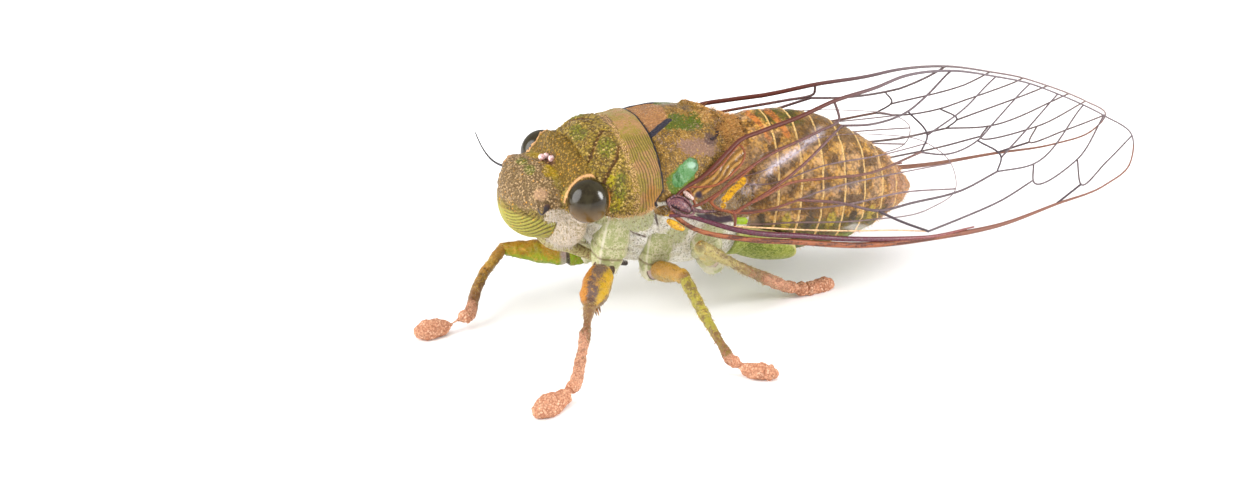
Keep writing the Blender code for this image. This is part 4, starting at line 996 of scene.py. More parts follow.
def hair_finish(name, root, tip):
    """Hair: one colour at the root and another at the tip, each hair a little lighter or
    darker than the next."""
    finish = Finish(name)
    finish.colour = finish.blend(root, tip, finish.mask("along"))
    finish.lay((96, 62, 30), finish.mask("shade") * 0.35)
    return finish.surface(Roughness=finish.noise(0.3) * 0.2 + 0.4, Specular_IOR_Level=0.4)


RIB_SPACING = 0.17
DOME_ROWS = 26
SHIELD_FURROW_Y = ((0.0, -2.05), (3.0, -2.02), (4.15, -1.9), (4.9, -1.74), (5.6, -1.6))
SHIELD_GROOVES = (
    ((1.3, -2.9, 4.7), (1.87, -3.42, 4.39), (2.61, -3.96, 3.94), (3.13, -4.42, 3.4), (3.3, -4.7, 2.9)),
    ((3.2, -2.3, 4.1), (3.87, -2.65, 3.58), (4.28, -3.21, 3.0), (4.54, -3.64, 2.37), (4.55, -3.9, 1.8)),
)
SHIELD_STREAK = ((-0.1, -4.75, 3.3), (0.8, -4.75, 3.1), (1.6, -4.7, 2.8))
FLANK_LINES = (
    ((4.1, -3.3, -0.9), (3.95, -2.75, -1.59), (3.95, -2.1, -2.3), (3.6, -1.3, -3.4), (3.0, -0.6, -4.7)),
    ((4.5, -2.0, -1.0), (4.2, -1.6, -1.8), (4.15, -1.0, -2.3), (4.1, 0.0, -2.65)),
)


def shield_piece():
    """Front thorax plate: ribbed collar behind a speckled furrow, slanting grooves before it,
    and the pale flank below its lip. Its rear edge runs forwards towards the lip."""
    rows = rows_of(190)
    start, end = SHIELD_STATIONS[0], SHIELD_STATIONS[-1]
    at = np.linspace(start, end, rows)
    outline = (SHIELD_HALF_WIDTH, SHIELD_TOP, SHIELD_LEVEL, SHIELD_FLANK, SHIELD_BOTTOM, SHIELD_SHOULDER)
    rings = trunk_rings(SHIELD_STATIONS, outline, at, rows_of(240), rows_of(130))
    level = follow(SHIELD_STATIONS, SHIELD_LEVEL, at)[:, None]
    corner = smoothstep(1.3, 0.2, rings[..., 2] - level) * smoothstep(-0.6, 0.0, rings[..., 2] - level)
    rings[..., 1] -= 0.6 * corner * smoothstep(-1.6, end, rings[..., 1])
    middle = rings[-1].mean(axis=0)
    tuck = rings[-1:] + np.array([0.0, 0.06, 0.0])
    inner = middle + (rings[-1:] - middle) * 0.965 + np.array([0.0, 0.02, 0.0])
    rings = domed_front(np.concatenate([rings, tuck, inner]), 0.35, DOME_ROWS)
    level = np.concatenate([np.full((DOME_ROWS, 1), level[0, 0]), level, np.repeat(level[-1:], 2, axis=0)])
    here = folded(rings)
    x, y, z = np.moveaxis(here, -1, 0)
    plate = smoothstep(-0.25, 0.1, z - level)
    furrow_y = np.interp(x, *zip(*SHIELD_FURROW_Y)) + 0.05 * lattice_noise(here, 0.7, 3)
    furrow = bell(y - furrow_y, 0.17) * plate
    collar = smoothstep(0.05, 0.35, y - furrow_y) * plate
    ribs = np.cos(2 * math.pi * (y - furrow_y) / RIB_SPACING + 0.9 * lattice_noise(here, 1.2, 2))
    ribs = ribs * collar * smoothstep(1.2, 3.0, x)
    grooves = sum(near(here, line, 0.19) for line in SHIELD_GROOVES) * plate
    swell = (blob(here, (2.9, -3.0, 4.0), (0.9, 0.9, 0.9), 0.8)
             + blob(here, (4.8, -2.7, 1.8), (0.7, 0.7, 1.2), 0.8))
    swell = swell + 0.8 * blob(here, (1.0, -3.6, 4.4), (1.0, 0.7, 0.6), 0.8)
    midline = bell(x, 0.12) * smoothstep(-2.2, -2.8, y) * plate
    rear_line = end - 0.6 * smoothstep(1.3, 0.2, z - level)
    rear = smoothstep(rear_line - 0.1, rear_line - 0.02, y)
    lip = bell(z - level, 0.2)
    lines = sum(near(here, line, 0.1) for line in FLANK_LINES) * (1 - plate)
    sclerite = blob(here, (4.3, -0.9, -1.1), (1.2, 1.35, 1.0), 0.25) * (1 - plate)
    grain = 0.035 * rough_noise(rings, 0.34, 21, 3) + 0.05 * np.maximum(rough_noise(rings, 0.2, 23, 2), 0)
    height = (-0.13 * furrow + 0.024 * ribs - 0.17 * grooves + 0.18 * swell * plate - 0.05 * midline
              + 0.12 * lip * smoothstep(-4.4, -3.6, y) - 0.2 * lines + 0.14 * sclerite
              + grain * (1 - 0.85 * collar) * plate + 0.03 * rough_noise(rings, 1.3, 25, 2))
    height[-2:] = height[-3]
    rings = rings + height[..., None] * grid_normals(rings)
    masks = {
        "furrow": grooves,
        "gold": np.maximum(bell(y - furrow_y, 0.3) * plate, lip * 0.9 * smoothstep(-3.8, -3.0, y)),
        "stripe": (0.5 - 0.5 * ribs) * collar * smoothstep(1.2, 3.0, x),
        "collar": collar,
        "orange": blob(here, (6.2, -0.4, 1.3), (0.8, 0.7, 0.9), 0.5) * collar,
        "yellow": blob(here, (4.7, -3.3, 2.2), (0.5, 0.35, 0.5), 0.5)
                  + 0.7 * blob(here, (5.2, -2.9, 0.7), (0.4, 0.5, 0.5), 0.5),
        "green": blob(here, (0.3, -4.2, 4.1), (0.9, 0.6, 0.5), 0.6)
                 + blob(here, (3.0, -3.2, 4.1), (0.9, 0.6, 0.7), 0.6)
                 + blob(here, (5.0, -2.7, 1.9), (0.6, 0.5, 1.1), 0.6)
                 + blob(here, (5.1, -3.1, 0.6), (0.5, 0.5, 0.6), 0.5),
        "streak": near(here, SHIELD_STREAK, 0.2),
        "purple": blob(here, (0.0, -2.1, 5.0), (1.1, 0.3, 0.5), 0.5),
        "edge": rear * plate,
        "wax": 1.0 - plate,
        "line": lines,
        "mint": sclerite + blob(here, (3.8, -3.6, -1.0), (1.0, 0.6, 0.8), 0.5) * (1 - plate),
    }
    add_skin("pronotum", rings, shield_finish(), masks)
    gold = hair_finish("lip_hair_finish", (190, 140, 84), (236, 206, 160))
    hairs("hair_shield_lip", rings, lip * smoothstep(-4.0, -3.2, y), 700, 0.3, (0.0, 0.3, -0.8), gold,
          21)
    white = hair_finish("flank_hair_finish", (214, 204, 190), (244, 240, 232))
    hairs("hair_shield_flank", rings, (1 - plate) * smoothstep(-4.3, -3.6, y), 1300, 0.3, (0.0, 0.4, -0.8),
          white, 22)


def wax_colour(finish, line):
    """Pale green flank under powdery white wax: white patches, mint mottles, brown strokes, dark seams."""
    fine, tiny = finish.fine, finish.tiny
    patchy = finish.noise(0.55, 3.0)
    stroke = finish.noise(0.1, 3.0, 0.6, (1.0, 0.6, 0.3))
    colour = finish.blend((220, 214, 190), (248, 244, 236), (patchy * 0.6 + tiny * 0.4).smooth(0.42, 0.56))
    colour = finish.blend(colour, (184, 186, 132), finish.broken("mint", 1.2) * 0.85)
    colour = finish.blend(colour, (128, 132, 60), (fine * 0.75 + patchy * 0.25).smooth(0.53, 0.63) * 0.75)
    colour = finish.blend(colour, (112, 84, 52), (stroke * 0.6 + tiny * 0.4).smooth(0.54, 0.62) * 0.8)
    return finish.blend(colour, (92, 66, 50), finish.frayed(line, 0.5).smooth(0.3, 0.7) * 0.85)


def shield_finish():
    """Olive plate mottled green and brown, with golden specks in its furrows, a dark rear edge
    and a waxy flank. Light specks on its raised granules are painted highlights, and the dark
    in the gaps between them is painted shade."""
    finish = Finish("shield_shell")
    fine, tiny = finish.fine, finish.tiny
    apart, pick = finish.flakes(0.2)
    raised = (0.62 - apart).smooth(0.05, 0.3)
    collar = finish.mask("collar")
    finish.colour = finish.mottled((102, 74, 22), (146, 122, 36), (192, 158, 82))
    finish.paint(("green", (110, 118, 20), 1.7, 0.75))
    band = finish.blend((136, 118, 50), (168, 124, 84),
                        (finish.coarse * 0.6 + fine * 0.4).smooth(0.46, 0.56))
    finish.lay(band, (collar + (fine - 0.5) * 0.6).smooth(0.3, 0.7) * 0.85)
    finish.paint(("orange", (164, 106, 42), 1.6, 0.6))
    finish.lay((78, 62, 26), finish.frayed("stripe", 0.8).smooth(0.45, 0.9) * 0.75)
    finish.paint(("yellow", (172, 156, 18), 1.3, 0.9),
                 ("streak", (150, 170, 96), 0.9, 0.85),
                 ("furrow", (96, 56, 22), 0.8, 0.85),
                 ("purple", (74, 46, 50), 1.2, 0.8))
    rough_area = 1.0 - collar * 0.85
    # Painted shade: dark brown in the gaps between the raised granules.
    finish.lay((66, 48, 20),
               (apart.smooth(0.4, 0.62) * 0.8 + (fine - 0.5) * 1.3).smooth(0.4, 0.8) * rough_area * 0.75)
    # Painted highlights: pale gold specks on the tops of the raised granules.
    painted_glint = pick.smooth(0.62, 0.75) * raised * (tiny + fine * 0.3 - 0.15).smooth(0.42, 0.65)
    finish.lay((226, 190, 122), painted_glint * rough_area * 0.9)
    gold = (finish.mask("gold") * 0.9 + (tiny - 0.5) * 3.4 + (fine - 0.5) * 1.6).smooth(0.72, 1.15)
    finish.lay((220, 176, 122), gold * 0.9)
    wax = finish.frayed("wax", 0.7).smooth(0.35, 0.65)
    finish.lay(wax_colour(finish, "line"), wax)
    finish.lay((30, 26, 32), finish.mask("edge").smooth(0.2, 0.6))
    shine = finish.shine(0.2, 0.26) + wax * 0.3
    height = (raised * 0.8 + pick * 0.4) * rough_area + fine * 1.2 + tiny * 0.7
    normal = finish.bump(height, 0.08, 0.9)
    return finish.surface(Roughness=shine, Normal=normal, Specular_IOR_Level=0.26)


BAR_LINE = ((2.75, 0.2, 4.65), (2.45, 0.85, 4.95), (2.05, 1.55, 5.25), (1.75, 2.0, 5.4))
CROSS_ARMS = (((0.0, 5.9, 5.0), (0.75, 5.2, 5.25), (1.35, 4.6, 5.3), (1.0, 4.1, 5.45)),
              ((0.0, 5.9, 5.0), (0.9, 6.6, 4.7), (1.6, 7.2, 4.1)))
FLANK_SEAMS = (
    ((4.4, 0.5, -0.9), (4.35, 0.9, -2.0), (4.1, 0.8, -3.2), (3.9, 0.6, -4.4)),
    ((4.6, 3.0, -0.7), (4.5, 3.6, -2.0), (4.3, 4.2, -3.6)),
    ((4.5, 5.0, -0.8), (4.3, 6.0, -2.2), (4.0, 6.6, -3.8)),
)


def thorax_piece():
    """Middle and hind thorax: vaulted back plate with two dark bars, green and purple fields
    and a raised cross at its rear, over pale waxy flanks with seams."""
    rows = rows_of(230)
    at = np.linspace(THORAX_STATIONS[0], THORAX_STATIONS[-1], rows)
    outline = (THORAX_HALF_WIDTH, THORAX_TOP, THORAX_LEVEL, THORAX_FLANK, THORAX_BOTTOM, THORAX_SHOULDER)
    rings = trunk_rings(THORAX_STATIONS, outline, at, rows_of(240), rows_of(130))
    here = folded(rings)
    x, y, z = np.moveaxis(here, -1, 0)
    level = follow(THORAX_STATIONS, THORAX_LEVEL, at)[:, None]
    plate = smoothstep(-0.2, 0.3, z - level)
    bar = smoothstep(0.3, 0.2, distance_to_line(here, BAR_LINE))
    arms = np.maximum(near(here, CROSS_ARMS[0], 0.24), near(here, CROSS_ARMS[1], 0.26))
    hollow = (blob(here, (0.0, 4.9, 5.3), (0.6, 0.5, 0.5), 0.6)
              + blob(here, (1.5, 5.9, 4.8), (0.5, 0.5, 0.6), 0.6))
    crescent = near(here, ((0.9, 6.75, 5.1), (1.3, 6.5, 4.95), (1.85, 5.9, 4.6), (2.0, 5.4, 4.6)), 0.2)
    rear_edge = near(here, ((2.2, 5.75, 4.5), (2.8, 5.4, 4.3), (3.1, 4.9, 4.3)), 0.16)
    waist = smoothstep(6.7, 7.3, y) * plate
    comb = near(here, ((1.6, 6.5, 4.7), (2.3, 6.3, 4.2), (2.8, 6.3, 3.6), (3.2, 6.1, 3.0)), 0.55) * plate
    seams = sum(near(here, line, 0.11) for line in FLANK_SEAMS) * (1 - plate)
    wing_line = near(here, ((5.2, 0.7, 1.6), (4.8, 3.0, 1.5), (3.9, 5.0, 2.9), (3.0, 6.2, 3.6)), 0.2)
    height = (0.07 * bar + 0.34 * arms - 0.2 * hollow * (1 - arms) - 0.15 * rear_edge - 0.18 * crescent
              - 0.2 * seams + 0.1 * wing_line * plate - 0.3 * waist - 0.1 * comb
              + 0.025 * rough_noise(rings, 0.34, 31, 3) * plate + 0.05 * rough_noise(rings, 1.4, 35, 2)
              + 0.12 * blob(here, (4.3, 2.6, -2.2), (1.2, 1.0, 1.4), 0.3) * (1 - plate))
    rings = rings + height[..., None] * grid_normals(rings)
    front_field = smoothstep(0.15, -0.15,
                             y - np.interp(x, [0.0, 1.6, 1.75, 2.75, 3.2], [2.2, 2.0, 1.9, 0.2, -0.3]))
    masks = {
        "bar": bar,
        "orange": front_field * smoothstep(3.2, 2.2, x) * smoothstep(4.4, 4.7, z),
        "green": blob(here, (1.9, 2.9, 5.3), (1.0, 1.9, 0.7), 0.5) * (1 - front_field),
        "mauve": blob(here, (3.8, 3.6, 4.0), (0.8, 2.0, 0.75), 0.45),
        "dusk": blob(here, (3.2, 4.9, 4.35), (0.6, 0.7, 0.5), 0.5),
        "emerald": smoothstep(0.8, 0.4, distance_to_line(here, ((4.7, 2.75, 2.95), (5.05, 2.0, 2.5),
                                                                (5.25, 1.5, 2.15)))),
        "glint": blob(here, (4.7, 2.7, 3.05), (0.6, 0.42, 0.24), 0.6),
        "moss": smoothstep(1.05, 0.6, distance_to_line(here, ((5.05, 2.1, 2.4), (5.3, 1.3, 1.95)))),
        "yellow": np.maximum(near(here, ((5.3, 0.6, 1.8), (5.1, 1.6, 1.5), (4.8, 2.9, 1.7)), 0.25),
                             blob(here, (4.48, 1.55, -1.2), (0.5, 0.6, 0.4), 0.4)),
        "gold": np.clip(arms + waist + comb * 0.7 + wing_line * 0.8
                        + blob(here, (0.8, 5.6, 5.1), (0.5, 0.5, 0.4), 0.5)
                        + blob(here, (1.5, 4.9, 5.2), (0.4, 0.4, 0.4), 0.5), 0, 1),
        "dark": np.maximum(rear_edge, crescent),
        "sclerite": blob(here, (5.2, 2.0, 0.3), (1.0, 1.5, 0.6), 0.4),
        "wax": (1.0 - plate) * (1 - blob(here, (4.6, 1.8, -0.5), (0.8, 1.6, 0.5), 0.4))
               * smoothstep(0.3, -0.3, z - 0.2 + 2.0 * smoothstep(3.2, 5.2, y)),
        "seam": seams,
        "mint": blob(here, (4.2, 2.4, -2.4), (1.0, 0.8, 1.0), 0.6)
                + blob(here, (3.9, 5.2, -2.6), (1.0, 1.2, 1.2), 0.6),
    }
    add_skin("thorax", rings, thorax_finish(), masks)
    gold = hair_finish("back_hair_finish", (186, 118, 52), (238, 186, 110))
    spread = comb * 1.5 + waist * 0.8 + 0.5 * wing_line * plate + 0.35 * arms
    hairs("hair_back", rings, spread, 2300, 0.42, (0.0, 0.7, 0.2), gold, 31, 0.014)
    white = hair_finish("pleura_hair_finish", (214, 204, 190), (244, 240, 232))
    hairs("hair_pleura", rings, (1 - plate) * smoothstep(-5.0, -4.0, z), 1800, 0.3, (0.0, 0.6, -0.6), white,
          32)


def thorax_finish():
    """Back plate in brown, green, mauve and glossy emerald, with gold down at its edges. Light
    specks on its raised granules are painted highlights, and the dark in the gaps between them
    is painted shade.
    """
    finish = Finish("thorax_shell")
    fine, tiny, coarse = finish.fine, finish.tiny, finish.coarse
    apart, pick = finish.flakes(0.17)
    raised = (0.62 - apart).smooth(0.05, 0.3)
    flow = finish.noise(0.5, 3.0, 0.65, (0.5, 1.0, 1.0))
    finish.colour = finish.mottled((74, 54, 14), (134, 98, 34), (190, 152, 84))
    finish.lay((58, 42, 14), (flow * 0.7 + fine * 0.3).smooth(0.5, 0.6) * 0.6)
    finish.paint(("orange", (168, 116, 74), 1.6, 0.8),
                 ("green", (68, 90, 2), 1.8, 0.92),
                 ("mauve", (140, 106, 88), 2.2, 0.9),
                 ("dusk", (78, 56, 56), 1.2, 0.8))
    emerald = (finish.frayed("emerald", 0.8) + (coarse - 0.5) * 1.2).smooth(0.3, 0.7)
    green = finish.blend((36, 84, 26), (74, 120, 66), (fine * 0.3 + coarse * 0.7).smooth(0.44, 0.58))
    green = finish.blend(green, (176, 206, 186), finish.frayed("glint", 0.8).smooth(0.3, 0.9) * 0.45)
    finish.paint(("moss", (82, 112, 12), 1.0, 0.9))
    finish.lay(green, emerald)
    finish.paint(("yellow", (206, 160, 18), 0.8, 1.0),
                 ("sclerite", (58, 28, 38), 0.6, 1.0))
    # Painted shade: dark brown in the gaps between the raised granules.
    finish.lay((70, 50, 24),
               (apart.smooth(0.42, 0.62) + (fine - 0.5) * 1.2).smooth(0.5, 0.9) * (1.0 - emerald) * 0.35)
    # Painted highlights: pale specks on the tops of the raised granules.
    painted_glint = pick.smooth(0.66, 0.78) * raised * (tiny + fine * 0.3 - 0.15).smooth(0.42, 0.65)
    finish.lay((230, 194, 140), painted_glint * (1.0 - emerald) * 0.4)
    finish.paint(("dark", (44, 32, 38), 0.6, 0.9),
                 ("bar", (44, 40, 50), 0.15, 1.0))
    gold = (finish.mask("gold") + (tiny - 0.5) * 2.8 + (fine - 0.5) * 1.2).smooth(0.5, 1.05)
    finish.lay((194, 138, 66), gold * 0.6)
    strand = finish.noise(0.12, 3.0, 0.6, (1.0, 0.3, 1.0))
    finish.lay((78, 50, 24), (strand * 0.7 + fine * 0.3).smooth(0.49, 0.57) * gold * 0.8)
    finish.lay((238, 206, 150), (strand * 0.7 + tiny * 0.3).smooth(0.47, 0.4) * gold * 0.6)
    wax = finish.frayed("wax", 0.7).smooth(0.35, 0.65)
    finish.lay(wax_colour(finish, "seam"), wax)
    shine = finish.shine(0.18, 0.2) + wax * 0.3 - emerald * 0.02
    relief = ((raised * 0.5 + pick * 0.2) + fine + tiny * 0.3) * (1.0 - emerald * 0.8)
    return finish.surface(Roughness=shine, Normal=finish.bump(relief, 0.08, 0.85), Specular_IOR_Level=0.26)


def abdomen_rings(at, turn, grow):
    """Ovals across the abdomen at the stations, grown all round by grow."""
    half_width = follow(ABDOMEN_STATIONS, ABDOMEN_HALF_WIDTH, at)[:, None] + grow
    top = follow(ABDOMEN_STATIONS, ABDOMEN_TOP, at)[:, None] + grow
    bottom = follow(ABDOMEN_STATIONS, ABDOMEN_BOTTOM, at)[:, None] - grow
    half_width = np.maximum(half_width, 0.15)
    middle = (top + bottom) / 2
    tall = np.maximum((top - bottom) / 2, 0.15)
    y = np.broadcast_to(at[:, None], (len(at), len(turn)))
    return np.stack([half_width * np.cos(turn), y, middle + tall * np.sin(turn)], axis=-1)


def abdomen_piece():
    """Abdomen of overlapping rings: each swells to a pale rear edge and the next starts
    below it."""
    rows = rows_of(380)
    at = np.linspace(ABDOMEN_STATIONS[0], ABDOMEN_STATIONS[-1], rows)
    turn = np.arange(rows_of(240)) * 2 * math.pi / rows_of(240)
    edges = np.array(SEGMENT_EDGES)
    segment = np.clip(np.searchsorted(edges, at, side="right") - 1, 0, len(edges) - 2)
    share = ((at - edges[segment]) / (edges[segment + 1] - edges[segment]))[:, None]
    width = (edges[segment + 1] - edges[segment])[:, None]
    step = -0.16 + 0.16 * smoothstep(0.0, 0.55, share) - 0.1 * smoothstep(0.97, 1.0, share)
    rings = abdomen_rings(at, turn, step)
    here = folded(rings)
    x, y, z = np.moveaxis(here, -1, 0)
    wrinkle = lattice_noise(rings * np.array([1.0, 0.35, 1.0]), 0.3, 41)
    height = 0.03 * wrinkle + 0.05 * rough_noise(rings, 1.2, 45, 2)
    side_fold = near(here, ((4.0, 9.0, -2.9), (4.2, 12.0, -3.1), (3.9, 16.0, -3.1), (2.4, 20.0, -2.6)), 0.2)
    height -= 0.14 * side_fold
    rings = rings + height[..., None] * grid_normals(rings)
    band = bell((1.0 - share) * width - 0.12, 0.11) * np.ones_like(x)
    rank = np.repeat(np.arange(len(edges) - 1)[segment][:, None], x.shape[1], axis=1)
    side_row = bell(z + 2.0 + 0.02 * y, 0.85)
    spots = bell((share - 0.45) * width, 0.42) * side_row
    top = smoothstep(2.6, 4.3, z + 0.16 * (y - 12.0))
    masks = {
        "band": band * smoothstep(8.9, 10.0, y) * smoothstep(21.3, 20.5, y),
        "step": smoothstep(0.12, 0.0, share) * np.ones_like(x),
        "dark": blob(here, (3.8, 16.3, -0.9), (0.6, 1.5, 0.45), 0.5)
                + 0.9 * blob(here, (3.8, 16.0, 0.5), (0.7, 1.0, 0.5), 0.6),
        "green": smoothstep(-1.6, -2.6, z) + 0.8 * blob(here, (0.8, 11.2, 4.8), (2.4, 1.9, 0.6), 0.4),
        "orange": (bell(y - 9.0 - 0.25 * x, 0.28) + bell(y - 10.6 - 0.2 * x, 0.3)) * top,
        "patch": spots * (rank % 2 == 0),
        "lemon": spots * (rank % 2 == 1),
        "tip": smoothstep(18.8, 21.0, y),
        "under": smoothstep(-3.4, -4.4, z),
        "brown": top * smoothstep(11.0, 12.5, y),
    }
    add_skin("abdomen", rings, abdomen_finish(), masks)
    gold = hair_finish("tip_hair_finish", (206, 132, 66), (246, 196, 130))
    density = smoothstep(17.0, 21.0, y) + 0.12
    hairs("hair_abdomen", rings, density, 2300, 0.34, (0.0, 0.9, -0.1), gold, 41)


def abdomen_finish():
    """Golden olive rings with pale yellow rear edges, greener below, dusky at the tip, with
    painted shade in the gaps between their granules.
    """
    finish = Finish("abdomen_finish", 0.17)
    fine, tiny, coarse = finish.fine, finish.tiny, finish.coarse
    apart, pick = finish.flakes(0.24)
    finish.colour = finish.blend((166, 112, 34), (86, 58, 16),
                                 (coarse * 0.8 + fine * 0.2).smooth(0.46, 0.57))
    broad = finish.noise(1.3, 3.0, 0.6)
    finish.lay((214, 164, 78), (fine * 0.35 + (1.0 - coarse) * 0.65).smooth(0.46, 0.6) * 0.8)
    finish.lay((210, 166, 118), broad.smooth(0.48, 0.62) * 0.6)
    finish.lay((110, 72, 24), broad.smooth(0.48, 0.36) * 0.5)
    finish.paint(("brown", (96, 68, 26), 1.2, 0.7),
                 ("green", (66, 74, 12), 1.2, 0.85),
                 ("orange", (190, 112, 48), 0.8, 0.85),
                 ("patch", (50, 44, 32), 0.6, 0.95),
                 ("lemon", (182, 158, 44), 0.6, 0.95),
                 ("dark", (62, 42, 38), 1.0, 0.8),
                 ("tip", (186, 136, 104), 1.3, 0.75),
                 ("under", (120, 140, 52), 0.6, 0.8))
    # Painted shade: dark brown in the gaps between the granules.
    finish.lay((64, 44, 24), (apart.smooth(0.42, 0.62) + (fine - 0.5)).smooth(0.5, 0.9) * 0.55)
    finish.lay((70, 50, 28), finish.mask("step").smooth(0.2, 0.9) * 0.6)
    band = finish.frayed("band", 0.7).smooth(0.35, 0.75)
    finish.lay(finish.blend((234, 202, 130), (178, 124, 58), tiny.smooth(0.4, 0.62)), band)
    shine = finish.shine(0.2, 0.24)
    normal = finish.bump(fine + tiny * 0.6 + pick * 0.4, 0.08, 0.9)
    return finish.surface(Roughness=shine, Normal=normal, Specular_IOR_Level=0.26)


GOLD_CELL = ((1.8, 1.15), (2.6, 1.5), (3.5, 2.0), (4.4, 2.6), (5.4, 3.3), (6.3, 3.85), (6.6, 3.2),
             (6.2, 2.35), (5.3, 1.7), (4.7, 1.3), (3.9, 0.95), (2.8, 0.4), (1.9, 0.0))
AMBER_CELL = ((1.95, -0.2), (3.2, 0.1), (4.1, 0.5), (5.2, 1.2), (6.5, 1.8), (7.9, 2.4), (8.3, 4.3),
              (6.5, 3.2), (6.2, 2.35), (4.7, 1.3), (2.8, 0.4))
DUSK_CELL = ((1.8, -0.85), (3.0, -1.0), (3.5, -1.3), (4.5, -1.3), (4.55, -1.85), (3.6, -1.85), (2.6, -1.55),
             (2.0, -1.2))
WHITE_CELL = ((3.1, -0.2), (3.5, -0.7), (4.4, -1.1), (4.75, -1.2), (5.4, -0.8), (4.9, 0.1), (4.1, 0.3),
              (3.4, 0.0))
PALE_CELL = ((13.0, -3.45), (14.2, -3.2), (15.6, -3.65), (14.4, -3.9))
LEMON_LINE = ((4.2, -0.15), (4.9, 0.35), (5.9, 1.0))
LIME_LINE = ((4.85, -1.85), (5.35, -1.9))
# Streaks where a whitish sheen is painted on the forewing film.
SHEEN_LINES = (((5.8, 0.1), (7.3, 0.9), (8.5, 1.7), (9.9, 2.3), (11.4, 3.0), (13.0, 3.8)),
              ((9.9, -0.9), (12.5, -0.6), (15.0, -0.6)))


def cell_area(flat, polygon, soft=0.1):
    """1 inside a flat polygon and 0 outside: even-odd count of the edges crossed going up,
    softened by the distance to its border."""
    corners = np.asarray(polygon, float)
    inside = np.zeros(flat.shape[:-1], bool)
    for start, end in zip(corners, np.roll(corners, -1, axis=0)):
        spans = (start[0] > flat[..., 0]) != (end[0] > flat[..., 0])
        rise = start[1] + (flat[..., 0] - start[0]) * (end[1] - start[1]) / (end[0] - start[0] + 1e-9)
        inside ^= spans & (rise > flat[..., 1])
    border = distance_to_line(flat, np.concatenate([corners, corners[:1]]))
    return smoothstep(-soft, soft, np.where(inside, border, -border))


def drum_cover_pieces():
    """Rounded green plates under the front of the abdomen: a curved sheet with a thick rim,
    closed round its edge, whose width follows a quarter ellipse towards its rear."""
    finish = chitin("drum_cover_finish", (104, 122, 30), (148, 158, 62), (196, 198, 110),
                    (("rim", (196, 190, 120), 0.3, 1.0),), 0.2)
    at = np.linspace(7.4, 12.45, 46)
    past = np.clip((at - 9.9) / 2.6, 0, 1)
    spread = math.radians(29) * np.sqrt(1 - past**2)
    across = np.linspace(-1, 1, 40)
    for side, word in SIDES:
        turn = math.radians(-58) + spread[:, None] * across[None, :]
        bulge = 0.25 * (1 - across**2)[None, :] * np.sqrt(1 - past**2)[:, None]
        sheets = []
        for grow in (0.75, 0.3):
            half_width = (follow(ABDOMEN_STATIONS, ABDOMEN_HALF_WIDTH, np.maximum(at, 8.3))[:, None] + grow
                          + bulge)
            top = follow(ABDOMEN_STATIONS, ABDOMEN_TOP, np.maximum(at, 8.3))[:, None] + grow
            bottom = follow(ABDOMEN_STATIONS, ABDOMEN_BOTTOM, np.maximum(at, 8.3))[:, None] - grow - bulge
            y = np.broadcast_to(at[:, None], turn.shape)
            sheets.append(np.stack([half_width * np.cos(turn) * side, y,
                                    (top + bottom) / 2 + (top - bottom) / 2 * np.sin(turn)], axis=-1))
        rings = np.concatenate([sheets[0], sheets[1][:, ::-1]], axis=1)
        points, faces = shell(rings, [rings[0].mean(axis=0), rings[-1].mean(axis=0)])
        edge = np.maximum(np.abs(np.concatenate([across, across[::-1]]))[None, :] ** 6, past[:, None] ** 6)
        add_piece(f"plate_drum_cover_{word}", place(points), faces, finish, [f"drum_cover_{word}"],
                  {"rim": with_poles(np.broadcast_to(edge, rings.shape[:2]))})


def wing_axes():
    """Along the wing, across it towards the midline, and out of its upper face."""
    along = np.array([-math.sin(WING_SWEEP) * math.cos(WING_RISE),
                      math.cos(WING_SWEEP) * math.cos(WING_RISE), math.sin(WING_RISE)])
    inward = np.array([-math.cos(WING_SWEEP), -math.sin(WING_SWEEP), 0.0])
    upward = np.cross(along, inward)
    upward *= np.sign(upward[2])
    across = math.cos(WING_ROOF) * inward + math.sin(WING_ROOF) * upward
    outward = np.cross(across, along)
    outward *= np.sign(outward[0])
    return along, across, outward


def wing_middle(flat):
    """Middle surface of the left wing: a roof plane that bulges over the body as a parabola
    and turns up softly beside the midline."""
    u, v = flat[..., 0], flat[..., 1]
    along, across, outward = wing_axes()
    bulge = WING_CAMBER * np.clip(1 - ((v - CAMBER_MIDDLE) / CAMBER_HALF_WIDTH) ** 2, 0, 1)
    bulge = bulge * smoothstep(0, CAMBER_FULL_AT, u) * (1 - smoothstep(*CAMBER_FADE, u))
    points = (np.asarray(WING_ROOT) + u[..., None] * along + v[..., None] * across
              + bulge[..., None] * outward)
    beyond = (points[..., 0] - MIDLINE_CLEARANCE) / MIDLINE_SOFTNESS
    points[..., 0] = MIDLINE_CLEARANCE + MIDLINE_SOFTNESS * np.logaddexp(0, beyond)
    return points


def wing_surface(flat, offset=0.0):
    """Points at an offset from the wing's middle surface, along its normal."""
    flat = np.asarray(flat, float)
    small = 0.05
    centre = wing_middle(flat)
    down_u = wing_middle(flat + np.array([small, 0.0])) - centre
    down_v = wing_middle(flat + np.array([0.0, small])) - centre
    normal = np.cross(down_u, down_v)
    normal /= np.linalg.norm(normal, axis=-1)[..., None]
    return centre + np.asarray(offset)[..., None] * normal if np.ndim(offset) else centre + offset * normal


def wing_outline(wing_frame):
    """Flat outline of the film: the frame vein moved outwards by the film's width there."""
    controls = np.array([point for point, _ in wing_frame])
    borders = np.array([border for _, border in wing_frame])
    closed = np.concatenate([controls, controls[:1]])
    rim = curve_through(closed, 0.25)[:-1]
    along = np.concatenate(([0.0], np.cumsum(np.linalg.norm(np.diff(closed, axis=0), axis=1))))
    share = np.linspace(0, along[-1], len(rim), endpoint=False)
    width = np.interp(share, along, np.append(borders, borders[0]))
    ahead = np.roll(rim, -1, axis=0) - np.roll(rim, 1, axis=0)
    ahead /= np.linalg.norm(ahead, axis=1)[:, None]
    return rim + np.stack([ahead[:, 1], -ahead[:, 0]], axis=1) * width[:, None], rim


